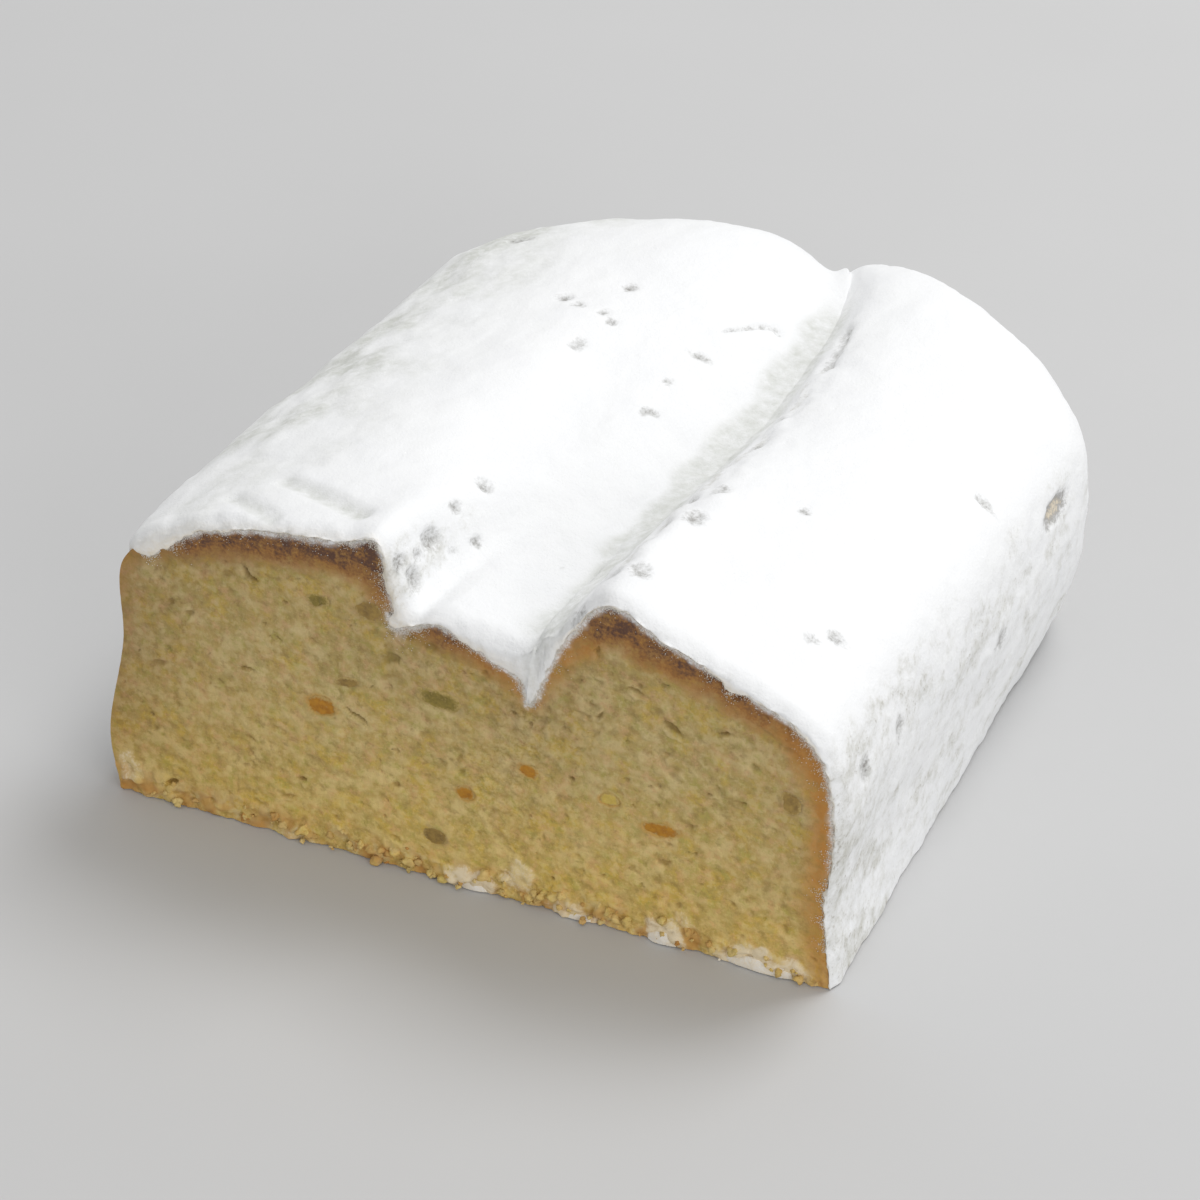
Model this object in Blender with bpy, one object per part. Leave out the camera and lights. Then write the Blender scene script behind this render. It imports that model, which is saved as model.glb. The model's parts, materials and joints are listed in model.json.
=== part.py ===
"""Half of a sugar-dusted stollen, cut straight across, as separate solids.

The loaf lies on its flat base. Its cut face looks along -Y and its rounded far end along +Y.
The dough was folded over once, so the top has a high left lobe with a step in it, a crease,
and a lower right lobe. A coat of icing sugar covers the top, the sides and the far end, and
lies deep in the crease. Candied peel and raisins show in the cut face, each a solid of its
own in its own pocket. Lengths are in millimetres; MM turns them into Blender's metres.
"""

from collections import namedtuple
from math import radians, sin, cos

import bmesh
import bpy
import numpy as np

MM = 0.001

# ---- Driving dimensions ------------------------------------------------------------------

LOAF_LENGTH = 146.5       # from the cut face to the tip of the rounded end
END_LENGTH = 43.5         # the far stretch in which the loaf rounds off
END_ROUND_WIDE = 1.7      # exponent of that rounding seen from above; 2 would be an ellipse
END_ROUND_HIGH = 2.55     # the same seen from the side
END_HEIGHT = 0.48         # share of the height that is left at the tip
END_MIDDLE = 5.5          # X of the tip, measured from the middle of the cut face
END_SWEEP = radians(80)   # the rounding stops here, at a small flat nose

SUGAR_LENGTH = 148.3      # from the cut face to the outside of the sugar at the tip
SUGAR_LIFT = 0.5          # the coat's lower edge stays this far above the ground
SKIN_GAP = 0.3            # room between the crust and the sugar
PIECE_GAP = 0.3           # room between a piece of fruit and its pocket

STRAIGHT_ROWS = 9         # rows of faces before the end starts to round off
END_ROWS = 10             # rows round the end
STEPS_PER_MARK = 3        # faces between two neighbouring marks of an outline
SHARP_EDGE = radians(40)

# ---- The outline of the loaf -------------------------------------------------------------
# Each mark is a place on the outline as (X, Z), X from the middle of the cut face. It moves
# from cut to far over its reach, a share of the length, and then stays. The sugar lies over
# it by the offset sugar, which turns into sugar_far where the two differ. Round the end the
# crease heals: its marks rise by heal, so that the lobes close up at the tip.

Mark = namedtuple("Mark", "cut far reach sugar sugar_far heal", defaults=(None, 0.0))

SIDE_REACH = 0.8
STEP_REACH = 0.35
CREASE_REACH = 0.6
HEAL_FROM = 0.35          # share of the rounding at which the crease starts to heal
HEAL_BY = 0.95            # and at which it has healed

MARKS = {
    "left foot": Mark((-64.4, 0.0), (-59.5, 0.0), SIDE_REACH, (-1.0, 0.0)),
    "left flank": Mark((-65.4, 13.0), (-62.5, 15.0), SIDE_REACH, (-1.1, 0.0)),
    "left wall": Mark((-61.4, 32.0), (-60.0, 31.0), SIDE_REACH, (-1.1, 0.2)),
    "left shoulder": Mark((-58.6, 48.0), (-53.2, 46.0), SIDE_REACH, (-1.2, 0.9)),
    "left brow": Mark((-49.0, 57.0), (-43.5, 51.2), SIDE_REACH, (-1.0, 1.7)),
    "left top": Mark((-34.0, 61.3), (-29.0, 54.4), SIDE_REACH, (-0.3, 2.0)),
    "left crown": Mark((-20.0, 62.6), (-15.0, 55.8), SIDE_REACH, (0.0, 2.0)),
    "step lip": Mark((-12.6, 63.0), (-5.0, 55.4), STEP_REACH, (0.5, 1.9)),
    "step foot": Mark((-9.6, 51.0), (2.5, 54.0), STEP_REACH, (2.0, 2.3), (0.3, 1.9)),
    "shelf": Mark((-2.0, 52.2), (9.5, 51.3), STEP_REACH, (0.5, 2.2)),
    "slope": Mark((7.0, 47.0), (15.0, 47.6), CREASE_REACH, (0.5, 3.8), (0.6, 1.9), 3.0),
    "crease": Mark((12.8, 42.0), (19.5, 42.6), CREASE_REACH, (1.4, 9.2), (1.0, 3.0), 8.5),
    "crease wall": Mark((17.6, 52.0), (23.0, 46.8), CREASE_REACH, (-1.1, 1.1), (-0.9, 1.0), 5.0),
    "crest": Mark((25.2, 64.0), (29.0, 53.2), CREASE_REACH, (-0.4, 1.9)),
    "right top": Mark((36.0, 60.2), (39.5, 54.4), CREASE_REACH, (0.5, 2.0)),
    "right brow": Mark((50.0, 54.3), (53.5, 51.0), SIDE_REACH, (0.9, 1.8)),
    "right shoulder": Mark((61.0, 47.8), (66.2, 42.3), SIDE_REACH, (1.4, 1.2)),
    "right wall": Mark((64.7, 34.0), (70.2, 30.0), SIDE_REACH, (1.4, 0.2)),
    "right flank": Mark((63.6, 15.0), (69.3, 14.0), SIDE_REACH, (1.2, 0.0)),
    "right foot": Mark((65.0, 0.0), (65.0, 0.0), SIDE_REACH, (1.0, 0.0)),
}

# ---- Fruit in the cut face ---------------------------------------------------------------
# Middle (X, Z) on the cut face, width, height, depth into the loaf, and tilt in degrees.

Fruit = namedtuple("Fruit", "middle width height depth tilt finish")

FRUIT = {
    "orange_peel_large": Fruit((-24.6, 29.4), 5.8, 4.0, 3.2, -6, "orange_peel"),
    "orange_peel_long": Fruit((35.4, 22.9), 7.4, 2.6, 3.0, 4, "orange_peel"),
    "orange_peel_low": Fruit((1.0, 19.4), 3.4, 2.7, 2.4, 0, "orange_peel"),
    "orange_peel_middle": Fruit((12.3, 27.5), 3.7, 2.4, 2.4, -14, "orange_peel"),
    "citron_peel_long": Fruit((-3.0, 37.1), 8.2, 3.6, 3.2, -5, "citron_peel"),
    "citron_peel_top": Fruit((-24.3, 50.6), 4.2, 2.8, 2.6, 8, "citron_peel"),
    "lemon_peel": Fruit((26.5, 26.3), 3.4, 2.5, 2.4, 10, "lemon_peel"),
    "raisin_step": Fruit((-15.2, 51.2), 5.2, 4.0, 3.4, 12, "raisin"),
    "raisin_low": Fruit((-4.7, 8.6), 4.6, 4.0, 3.4, 0, "raisin"),
    "raisin_right": Fruit((57.4, 35.4), 3.6, 4.8, 3.2, 8, "raisin"),
    "raisin_seam": Fruit((-19.6, 35.6), 4.6, 1.9, 2.2, 12, "raisin"),
}

FRUIT_SIDES = 12          # corners of a piece's outline
FRUIT_RINGS = 3           # rings of faces from the cut face to the back of a piece
FRUIT_SQUARENESS = 2.6    # exponent of its outline; 2 is an ellipse, more is squarer
POCKET_OVERRUN = 1.0      # how far a pocket's cutter stands out of the cut face

# ---- Finishes: base colour and roughness -------------------------------------------------

FINISHES = {
    "loaf": ((0.55, 0.38, 0.14), 0.85),
    "icing_sugar": ((0.90, 0.90, 0.91), 0.80),
    "orange_peel": ((0.62, 0.27, 0.04), 0.45),
    "citron_peel": ((0.33, 0.30, 0.09), 0.45),
    "lemon_peel": ((0.62, 0.45, 0.10), 0.45),
    "raisin": ((0.17, 0.10, 0.05), 0.50),
}


def smooth(share):
    """Ease from 0 to 1 without a kink at either end."""
    share = np.clip(share, 0.0, 1.0)
    return share * share * (3.0 - 2.0 * share)


def curve_through(points, steps):
    """Points on the Catmull-Rom curve through the given points, steps to each span."""
    first = 2 * points[0] - points[1]
    last = 2 * points[-1] - points[-2]
    padded = np.vstack([first, points, last])
    at = np.linspace(0, len(points) - 1, (len(points) - 1) * steps + 1)
    span = np.minimum(at.astype(int), len(points) - 2)
    t = (at - span)[:, None]
    a, b, c, d = (padded[span + shift] for shift in range(4))
    return 0.5 * (2 * b + (c - a) * t + (2 * a - 5 * b + 4 * c - d) * t**2
                  + (3 * b - a - 3 * c + d) * t**3)


def stations(length):
    """Y of each row: even steps up to the rounding, then rows that close up round the end."""
    start = length - END_LENGTH
    straight = np.linspace(0.0, start, STRAIGHT_ROWS, endpoint=False)
    turn = np.linspace(0.0, END_SWEEP, END_ROWS)
    return np.concatenate([straight, start + END_LENGTH * np.sin(turn)])


def loaf_skin(length, sugared):
    """Grid of points, one row per station and one column per step round the outline."""
    marks = MARKS.values()
    cut = np.array([mark.cut for mark in marks])
    far = np.array([mark.far for mark in marks])
    if sugared:
        cut = cut + np.array([mark.sugar for mark in marks])
        far = far + np.array([mark.sugar_far or mark.sugar for mark in marks])
    reach = np.array([mark.reach for mark in marks])[:, None] * length
    heal = np.array([(0.0, mark.heal) for mark in marks])

    rows = []
    for y in stations(length):
        turn = max(0.0, (y - length) / END_LENGTH + 1.0)
        blend = smooth(y / reach)
        healed = smooth((turn - HEAL_FROM) / (HEAL_BY - HEAL_FROM))
        places = cut * (1 - blend) + far * blend + heal * healed
        outline = curve_through(places, STEPS_PER_MARK)
        narrowing = (1 - turn**END_ROUND_WIDE) ** (1 / END_ROUND_WIDE)
        lowering = (1 - turn**END_ROUND_HIGH) ** (1 / END_ROUND_HIGH)
        x = END_MIDDLE + (outline[:, 0] - END_MIDDLE) * narrowing
        z = outline[:, 1] * (END_HEIGHT + (1 - END_HEIGHT) * lowering)
        rows.append(np.column_stack([x, np.full_like(x, y), z]))
    return np.array(rows)


def pushed_out(skin, distance):
    """The skin moved outwards, square to its own surface."""
    along = np.gradient(skin, axis=0)
    around = np.gradient(skin, axis=1)
    normal = np.cross(around, along)
    normal /= np.linalg.norm(normal, axis=2, keepdims=True)
    return skin + normal * distance


def on_the_cut(skin, lift):
    """The skin with its first row on the cut plane and its lower edges at the given height."""
    skin = skin.copy()
    skin[0, :, 1] = 0.0
    skin[:, [0, -1], 2] = lift
    return skin


def finish(name):
    """The Principled material of one finish, made once."""
    material = bpy.data.materials.get(name)
    if material is None:
        colour, roughness = FINISHES[name]
        material = bpy.data.materials.new(name)
        material.use_nodes = True
        shader = material.node_tree.nodes["Principled BSDF"]
        shader.inputs["Base Color"].default_value = (*colour, 1.0)
        shader.inputs["Roughness"].default_value = roughness
        shader.inputs["Metallic"].default_value = 0.0
    return material


def add_solid(name, points, faces, finish_name, parent, location=(0.0, 0.0, 0.0)):
    """One closed solid from points in millimetres, its faces turned outwards."""
    mesh = bpy.data.meshes.new(name)
    mesh.from_pydata((np.asarray(points) * MM).tolist(), [], faces)
    shell = bmesh.new()
    shell.from_mesh(mesh)
    bmesh.ops.recalc_face_normals(shell, faces=shell.faces)
    shell.to_mesh(mesh)
    shell.free()
    mesh.shade_smooth()
    mesh.set_sharp_from_angle(angle=SHARP_EDGE)
    mesh.materials.append(finish(finish_name))
    solid = bpy.data.objects.new(name, mesh)
    solid.location = [value * MM for value in location]
    solid.parent = parent
    bpy.context.collection.objects.link(solid)
    return solid


def grid_faces(index):
    """The quads between neighbouring points of a grid of point numbers."""
    corners = (index[:-1, :-1], index[:-1, 1:], index[1:, 1:], index[1:, :-1])
    return np.stack(corners, axis=-1).reshape(-1, 4).tolist()


def make_loaf(crust, parent):
    """The loaf itself: the crust's skin, closed by the cut face, the base and the nose."""
    rows, columns = crust.shape[:2]
    index = np.arange(rows * columns).reshape(rows, columns)
    cut_face = index[0].tolist()
    nose = index[-1].tolist()
    base = index[:, 0].tolist() + index[::-1, -1].tolist()
    faces = grid_faces(index) + [cut_face, nose, base]
    return add_solid("loaf", crust.reshape(-1, 3), faces, "loaf", parent)


def make_sugar_coat(crust, parent):
    """A shell of icing sugar, open at the cut face and underneath."""
    outside = on_the_cut(loaf_skin(SUGAR_LENGTH, sugared=True), SUGAR_LIFT)
    inside = on_the_cut(pushed_out(crust, SKIN_GAP), SUGAR_LIFT)
    inside[-1, :, 1] = crust[-1, :, 1] + SKIN_GAP
    rows, columns = outside.shape[:2]
    outer = np.arange(rows * columns).reshape(rows, columns)
    inner = outer + rows * columns

    faces = grid_faces(outer) + grid_faces(inner)
    faces += grid_faces(np.stack([outer[0], inner[0]]))
    faces += grid_faces(np.stack([outer[:, 0], inner[:, 0]]))
    faces += grid_faces(np.stack([outer[:, -1], inner[:, -1]]))
    faces += [outer[-1].tolist(), inner[-1].tolist()]
    faces += [[outer[-1, 0], outer[-1, -1], inner[-1, -1], inner[-1, 0]]]
    points = np.vstack([outside.reshape(-1, 3), inside.reshape(-1, 3)])
    return add_solid("sugar_coat", points, faces, "icing_sugar", parent)


def fruit_shape(fruit, grow=0.0, overrun=0.0):
    """Half of a squarish lump, flat where the knife went through it, round behind.

    Its rings follow a superellipse in outline and shrink over a quarter turn to a point.
    """
    around = np.linspace(0.0, 2 * np.pi, FRUIT_SIDES, endpoint=False)
    power = 2 / FRUIT_SQUARENESS
    side = np.sign(np.cos(around)) * np.abs(np.cos(around)) ** power
    rise = np.sign(np.sin(around)) * np.abs(np.sin(around)) ** power
    half_width = fruit.width / 2 + grow
    half_height = fruit.height / 2 + grow
    depth = fruit.depth + grow
    tilt = radians(fruit.tilt)

    turns = np.linspace(0.0, np.pi / 2, FRUIT_RINGS + 1)
    rings = [(1.0, -overrun)] if overrun else []
    rings += [(cos(turn), depth * sin(turn)) for turn in turns[:-1]]
    points = []
    for size, y in rings:
        x = side * half_width * size
        z = rise * half_height * size
        turned_x = x * cos(tilt) - z * sin(tilt)
        turned_z = x * sin(tilt) + z * cos(tilt)
        points.append(np.column_stack([turned_x, np.full_like(x, y), turned_z]))
    points = np.vstack(points + [[[0.0, depth, 0.0]]])

    index = np.arange(len(rings) * FRUIT_SIDES).reshape(len(rings), FRUIT_SIDES)
    closed = np.column_stack([index, index[:, 0]])
    tip = len(points) - 1
    faces = grid_faces(closed) + [index[0].tolist()]
    faces += [[closed[-1, side_at], closed[-1, side_at + 1], tip] for side_at in range(FRUIT_SIDES)]
    return points, faces


def make_fruit(parent):
    """Every piece of fruit, its flat side in the cut face."""
    for name, fruit in FRUIT.items():
        points, faces = fruit_shape(fruit)
        x, z = fruit.middle
        add_solid(name, points, faces, fruit.finish, parent, location=(x, 0.0, z))


def cut_pockets(loaf, parent):
    """Room for every piece of fruit, cut out of the loaf by one set of larger shapes."""
    all_points = []
    all_faces = []
    start = 0
    for fruit in FRUIT.values():
        points, faces = fruit_shape(fruit, grow=PIECE_GAP, overrun=POCKET_OVERRUN)
        x, z = fruit.middle
        all_points.append(points + [x, 0.0, z])
        all_faces += [[start + corner for corner in face] for face in faces]
        start += len(points)
    cutter = add_solid("pockets", np.vstack(all_points), all_faces, "loaf", parent)
    cutter.hide_render = True
    cutter.display_type = "WIRE"
    pockets = loaf.modifiers.new("pockets", "BOOLEAN")
    pockets.operation = "DIFFERENCE"
    pockets.solver = "EXACT"
    pockets.object = cutter


def main():
    """Clear the scene, then make the loaf, its sugar and its fruit about the base's middle."""
    for thing in list(bpy.data.objects):
        bpy.data.objects.remove(thing)

    outside = loaf_skin(SUGAR_LENGTH, sugared=True)
    middle = (outside.min(axis=(0, 1)) + outside.max(axis=(0, 1))) / 2
    stollen = bpy.data.objects.new("stollen", None)
    stollen.location = (-middle[0] * MM, -middle[1] * MM, 0.0)
    bpy.context.collection.objects.link(stollen)

    crust = loaf_skin(LOAF_LENGTH, sugared=False)
    loaf = make_loaf(crust, stollen)
    make_sugar_coat(crust, stollen)
    make_fruit(stollen)
    cut_pockets(loaf, stollen)


main()
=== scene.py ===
# %% [markdown]
# # A cut stollen under icing sugar
# This lesson dresses one half of a stollen. A stollen is a dense, buttery yeast bread that is
# folded over once before baking, brushed with butter while hot, and buried in icing sugar.
# Three things make it look real: the crumb of the cut face, the brown band of crust round it,
# and the deep, soft, slightly patchy coat of sugar. Each gets its own surface here.
# The solids from the frame give every size and place. All shapes are worked out in
# millimetres with numpy and turned into Blender's metres in one place.

# %% The frame
import json
from itertools import product
from math import cos, pi, radians, sin, tan

import bpy
import numpy as np
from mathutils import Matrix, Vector


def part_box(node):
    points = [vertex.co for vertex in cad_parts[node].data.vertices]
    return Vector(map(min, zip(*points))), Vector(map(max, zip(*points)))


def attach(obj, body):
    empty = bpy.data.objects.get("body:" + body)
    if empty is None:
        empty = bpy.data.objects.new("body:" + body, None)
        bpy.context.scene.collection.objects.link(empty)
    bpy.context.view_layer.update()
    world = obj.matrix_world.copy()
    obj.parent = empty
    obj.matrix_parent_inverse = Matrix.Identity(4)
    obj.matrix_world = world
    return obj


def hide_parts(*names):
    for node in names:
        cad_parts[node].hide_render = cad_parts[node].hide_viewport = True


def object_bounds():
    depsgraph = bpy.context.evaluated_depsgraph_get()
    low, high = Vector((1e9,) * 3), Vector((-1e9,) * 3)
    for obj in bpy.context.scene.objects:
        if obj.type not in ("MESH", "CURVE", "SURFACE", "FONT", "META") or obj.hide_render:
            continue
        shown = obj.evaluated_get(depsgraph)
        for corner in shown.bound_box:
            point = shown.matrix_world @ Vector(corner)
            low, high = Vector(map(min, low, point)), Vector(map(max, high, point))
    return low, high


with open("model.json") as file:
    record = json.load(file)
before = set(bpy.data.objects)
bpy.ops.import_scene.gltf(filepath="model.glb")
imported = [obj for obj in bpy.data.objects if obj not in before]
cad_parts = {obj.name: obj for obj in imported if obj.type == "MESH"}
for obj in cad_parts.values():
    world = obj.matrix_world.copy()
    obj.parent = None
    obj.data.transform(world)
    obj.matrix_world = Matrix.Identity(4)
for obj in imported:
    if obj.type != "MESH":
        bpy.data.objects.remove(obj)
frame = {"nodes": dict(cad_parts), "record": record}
cad_low, cad_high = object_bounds()
print("solids in the frame:", sorted(frame["nodes"]))
print("box in mm:", [round(side * 1000, 1) for side in cad_high - cad_low])

# %% [markdown]
# ## The outline of the dough
# Seen at the cut, the dough has a high left lobe that ends in a step, a shelf, a deep crease
# and a lower right lobe. The outline could be drawn by hand as a curve object. Here it is a
# short table of named marks, so that every later surface (crust, sugar, browning) can refer
# to the same places. Each mark has a place at the cut and another further back, and slides
# from one to the other over its reach. The sugar lies over it by an offset of its own.

# %% Marks: (X, Z) at the cut, (X, Z) further back, reach, sugar there, sugar further back, heal
SIDE, STEP, CREASE = 0.8, 0.35, 0.6
MARKS = {
    "left foot": ((-64.4, 0.0), (-59.5, 0.0), SIDE, (-1.0, 0.0), (-1.0, 0.0), 0.0),
    "left flank": ((-65.4, 13.0), (-62.5, 15.0), SIDE, (-1.1, 0.0), (-1.1, 0.0), 0.0),
    "left wall": ((-61.4, 32.0), (-60.0, 31.0), SIDE, (-1.1, 0.2), (-1.1, 0.2), 0.0),
    "left shoulder": ((-58.6, 48.0), (-53.2, 46.0), SIDE, (-1.2, 0.9), (-1.2, 0.9), 0.0),
    "left brow": ((-49.0, 57.0), (-43.5, 51.2), SIDE, (-1.0, 1.7), (-1.0, 1.7), 0.0),
    "left top": ((-34.0, 61.3), (-29.0, 54.4), SIDE, (-0.3, 2.0), (-0.3, 2.0), 0.0),
    "left crown": ((-20.0, 62.6), (-15.0, 55.8), SIDE, (0.0, 2.0), (0.0, 2.0), 0.0),
    "step lip": ((-12.6, 63.0), (-5.0, 55.4), STEP, (0.5, 1.9), (0.5, 1.9), 0.0),
    "step foot": ((-9.6, 51.0), (2.5, 54.0), STEP, (2.0, 2.3), (0.3, 1.9), 0.0),
    "shelf": ((-2.0, 52.2), (9.5, 51.3), STEP, (0.5, 2.2), (0.5, 2.2), 0.0),
    "slope": ((7.0, 47.0), (15.0, 47.6), CREASE, (0.5, 3.8), (0.6, 1.9), 3.0),
    "crease": ((12.8, 42.0), (19.5, 42.6), CREASE, (1.4, 9.2), (1.0, 3.0), 8.5),
    "crease wall": ((17.6, 52.0), (23.0, 46.8), CREASE, (-1.1, 1.1), (-0.9, 1.0), 5.0),
    "crest": ((25.2, 64.0), (29.0, 53.2), CREASE, (-0.4, 1.9), (-0.4, 1.9), 0.0),
    "right top": ((36.0, 60.2), (39.5, 54.4), CREASE, (0.5, 2.0), (0.5, 2.0), 0.0),
    "right brow": ((50.0, 54.3), (53.5, 51.0), SIDE, (0.9, 1.8), (0.9, 1.8), 0.0),
    "right shoulder": ((61.0, 47.8), (66.2, 42.3), SIDE, (1.4, 1.2), (1.4, 1.2), 0.0),
    "right wall": ((64.7, 34.0), (70.2, 30.0), SIDE, (1.4, 0.2), (1.4, 0.2), 0.0),
    "right flank": ((63.6, 15.0), (69.3, 14.0), SIDE, (1.2, 0.0), (1.2, 0.0), 0.0),
    "right foot": ((65.0, 0.0), (65.0, 0.0), SIDE, (1.0, 0.0), (1.0, 0.0), 0.0),
}
NAMES = list(MARKS)
AT_CUT, AT_FAR, REACH, SUGAR_CUT, SUGAR_FAR, HEAL = (
    np.array([mark[column] for mark in MARKS.values()], float) for column in range(6)
)
print(len(NAMES), "marks from", NAMES[0], "to", NAMES[-1])


def mark_at(name):
    """Where a mark lies along the outline: 0 is the first mark, 1 the second, and so on."""
    return float(NAMES.index(name))


# %% [markdown]
# A smooth line through the marks could be a Bezier curve with handles. The Catmull-Rom curve
# needs no handles: between two marks it is a cubic whose slope at each mark is half the way
# from the mark before to the mark after.

# %% The curve through the marks
def smooth(share):
    """Ease from 0 to 1: three times the square of the share less twice its cube."""
    share = np.clip(share, 0.0, 1.0)
    return share * share * (3.0 - 2.0 * share)


def curve_through(marks, at):
    """Catmull-Rom curve. marks is (..., marks, 2) and at holds places along them."""
    first = 2 * marks[..., :1, :] - marks[..., 1:2, :]
    last = 2 * marks[..., -1:, :] - marks[..., -2:-1, :]
    padded = np.concatenate([first, marks, last], axis=-2)
    span = np.minimum(at.astype(int), marks.shape[-2] - 2)
    t = (at - span)[:, None]
    a, b, c, d = (padded[..., span + shift, :] for shift in range(4))
    return 0.5 * (2 * b + (c - a) * t + (2 * a - 5 * b + 4 * c - d) * t**2
                  + (3 * b - a - 3 * c + d) * t**3)


def evenly(start, end, count):
    """Places along the marks from start to end that are evenly spaced in millimetres."""
    fine = np.linspace(start, end, 2000)
    steps = np.linalg.norm(np.diff(curve_through(AT_CUT, fine), axis=0), axis=1)
    run = np.concatenate([[0.0], np.cumsum(steps)])
    return np.interp(np.linspace(0.0, run[-1], count), run, fine)


whole = evenly(0, len(NAMES) - 1, 3)
print("middle of the outline lies near mark", round(float(whole[1]), 2))

# %% [markdown]
# ## From outline to loaf
# The loaf is the outline carried along Y. A plain extrusion would end in a flat back, so over
# the last stretch each outline shrinks towards the tip. The shrinking follows a superellipse:
# width share = (1 - turn^n)^(1/n), where turn runs from 0 to 1 over that stretch. The same
# formula with another exponent lowers the height. The crease heals towards the tip. Sugar that
# slid into the crease fills its bottom to a gutter, except where the crease has healed.

# %% The loft
LOAF_LENGTH, SUGAR_LENGTH = 146.5, 148.3
END_LENGTH, END_HEIGHT, END_MIDDLE = 43.5, 0.48, 5.5
ROUND_WIDE, ROUND_HIGH = 1.7, 2.55
HEAL_FROM, HEAL_BY = 0.35, 0.95
FILLED = {"slope": 0.8, "crease": 3.8, "crease wall": 2.2}
FILL = np.array([FILLED.get(name, 0.0) for name in NAMES])


def loft(y, at, length, sugared=0.0):
    """The skin as (rows, columns, 3) millimetres: a row per y, a column per place at."""
    cut = AT_CUT + SUGAR_CUT * sugared
    far = AT_FAR + SUGAR_FAR * sugared
    y = np.asarray(y, float)[:, None, None]
    turn = np.clip((y - length) / END_LENGTH + 1.0, 0.0, 1.0)
    blend = smooth(y / (REACH[:, None] * length))
    healed = smooth((turn - HEAL_FROM) / (HEAL_BY - HEAL_FROM))
    lift = HEAL[:, None] * healed + sugared * FILL[:, None] * blend * (1 - healed)
    marks = cut * (1 - blend) + far * blend + lift * np.array([0.0, 1.0])
    outline = curve_through(marks, at)
    wide = (1 - turn[..., 0] ** ROUND_WIDE) ** (1 / ROUND_WIDE)
    high = (1 - turn[..., 0] ** ROUND_HIGH) ** (1 / ROUND_HIGH)
    x = END_MIDDLE + (outline[..., 0] - END_MIDDLE) * wide
    z = outline[..., 1] * (END_HEIGHT + (1 - END_HEIGHT) * high)
    return np.stack([x, np.broadcast_to(y[..., 0], x.shape), z], axis=-1)


def rows_along(length, front, middle, end, sweep=radians(86)):
    """Y of the rows: the given front ones, even ones, then ones that close up at the tip."""
    start = length - END_LENGTH
    turn = np.linspace(0.0, sweep, end)
    straight = np.linspace(front[-1], start, middle, endpoint=False)[1:]
    return np.concatenate([front, straight, start + END_LENGTH * np.sin(turn)])


# %% [markdown]
# The frame says where the loaf is. The lofted skin is in millimetres from the middle of the
# cut face, so one shift and one scale per axis set its box onto the solid's box. The same
# shift and scale then carry every other surface.

# %% Seat on the frame
crust_box = loft(rows_along(LOAF_LENGTH, np.array([0.0]), 20, 40, radians(80)),
                 evenly(0, len(NAMES) - 1, 400), LOAF_LENGTH).reshape(-1, 3)
loaf_low, loaf_high = (np.array(corner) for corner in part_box("loaf"))
SCALE = (loaf_high - loaf_low) / (crust_box.max(axis=0) - crust_box.min(axis=0))
SHIFT = loaf_low - crust_box.min(axis=0) * SCALE


def to_frame(points):
    """Millimetres from the middle of the cut face turned into the frame's metres."""
    return np.asarray(points) * SCALE + SHIFT


def to_mm(points):
    """The frame's metres turned back into millimetres from the middle of the cut face."""
    return (np.asarray(points) - SHIFT) / SCALE


print("scale per axis:", SCALE.round(6), "shift:", SHIFT.round(5))

# %% [markdown]
# The solid keeps the crease open. On the real loaf its tip is a narrow slit, its right wall
# bulges, the left shoulder is squarer, and the dough stands up at the lip of the step with
# little sugar over it. At the cut, sugar fills the crease well up. So some marks move a little.

# %% Finer marks: what is added to (X, Z) at the cut
FINER = {"left shoulder": (-1.5, 0.8), "left top": (0.0, 0.5), "left crown": (0.0, 1.0),
         "step lip": (-0.4, 2.0), "slope": (4.4, -1.4), "crease": (0.1, -0.2),
         "crease wall": (1.1, 3.2), "crest": (1.2, 0.5)}
FINER_SUGAR = {"left crown": (0.0, -0.4), "step lip": (0.0, -1.1), "slope": (0.0, 3.0),
               "crease": (0.0, 3.4), "crease wall": (0.2, 0.9)}
for name, moved in FINER.items():
    AT_CUT[NAMES.index(name)] += moved
for name, moved in FINER_SUGAR.items():
    SUGAR_CUT[NAMES.index(name)] += moved
print("marks moved:", len(FINER), "in the dough,", len(FINER_SUGAR), "in the sugar")

# %% [markdown]
# ## Unevenness
# Nothing baked is smooth. Blender has texture nodes and a displace modifier for this, but the
# shapes here are arrays, so the noise is an array formula too. Gradient noise gives every
# whole-numbered corner of space a random slope, and blends the eight slopes round a point.

# %% Gradient noise
def corner_numbers(cell, seed):
    """Three repeatable numbers from 0 to 1 for each whole-numbered cell, by mixing bits."""
    x, y, z = np.moveaxis(cell.astype(np.int64).astype(np.uint32), -1, 0)
    mixed = x * np.uint32(73856093) ^ y * np.uint32(19349663) ^ z * np.uint32(83492791)
    mixed = (mixed ^ np.uint32(seed * 7919 + 17)) * np.uint32(2654435761)
    mixed = (mixed ^ (mixed >> np.uint32(15))) * np.uint32(2246822519)
    mixed = mixed ^ (mixed >> np.uint32(13))
    parts = [(mixed >> np.uint32(shift)) & np.uint32(1023) for shift in (0, 10, 20)]
    return np.stack(parts, axis=-1) / 1023.0


def noise(points, size, seed=0):
    """Gradient noise from about -1 to 1, with lumps of the given size in mm (one or three)."""
    place = points / size
    cell = np.floor(place)
    inside = place - cell
    ease = inside**3 * (inside * (inside * 6 - 15) + 10)
    total = np.zeros(points.shape[:-1])
    for corner in product((0.0, 1.0), repeat=3):
        slope = corner_numbers(cell + corner, seed) * 2 - 1
        height = (slope * (inside - corner)).sum(axis=-1)
        weight = np.prod(np.where(np.array(corner) == 1.0, ease, 1 - ease), axis=-1)
        total += height * weight
    return total * 1.6


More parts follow.
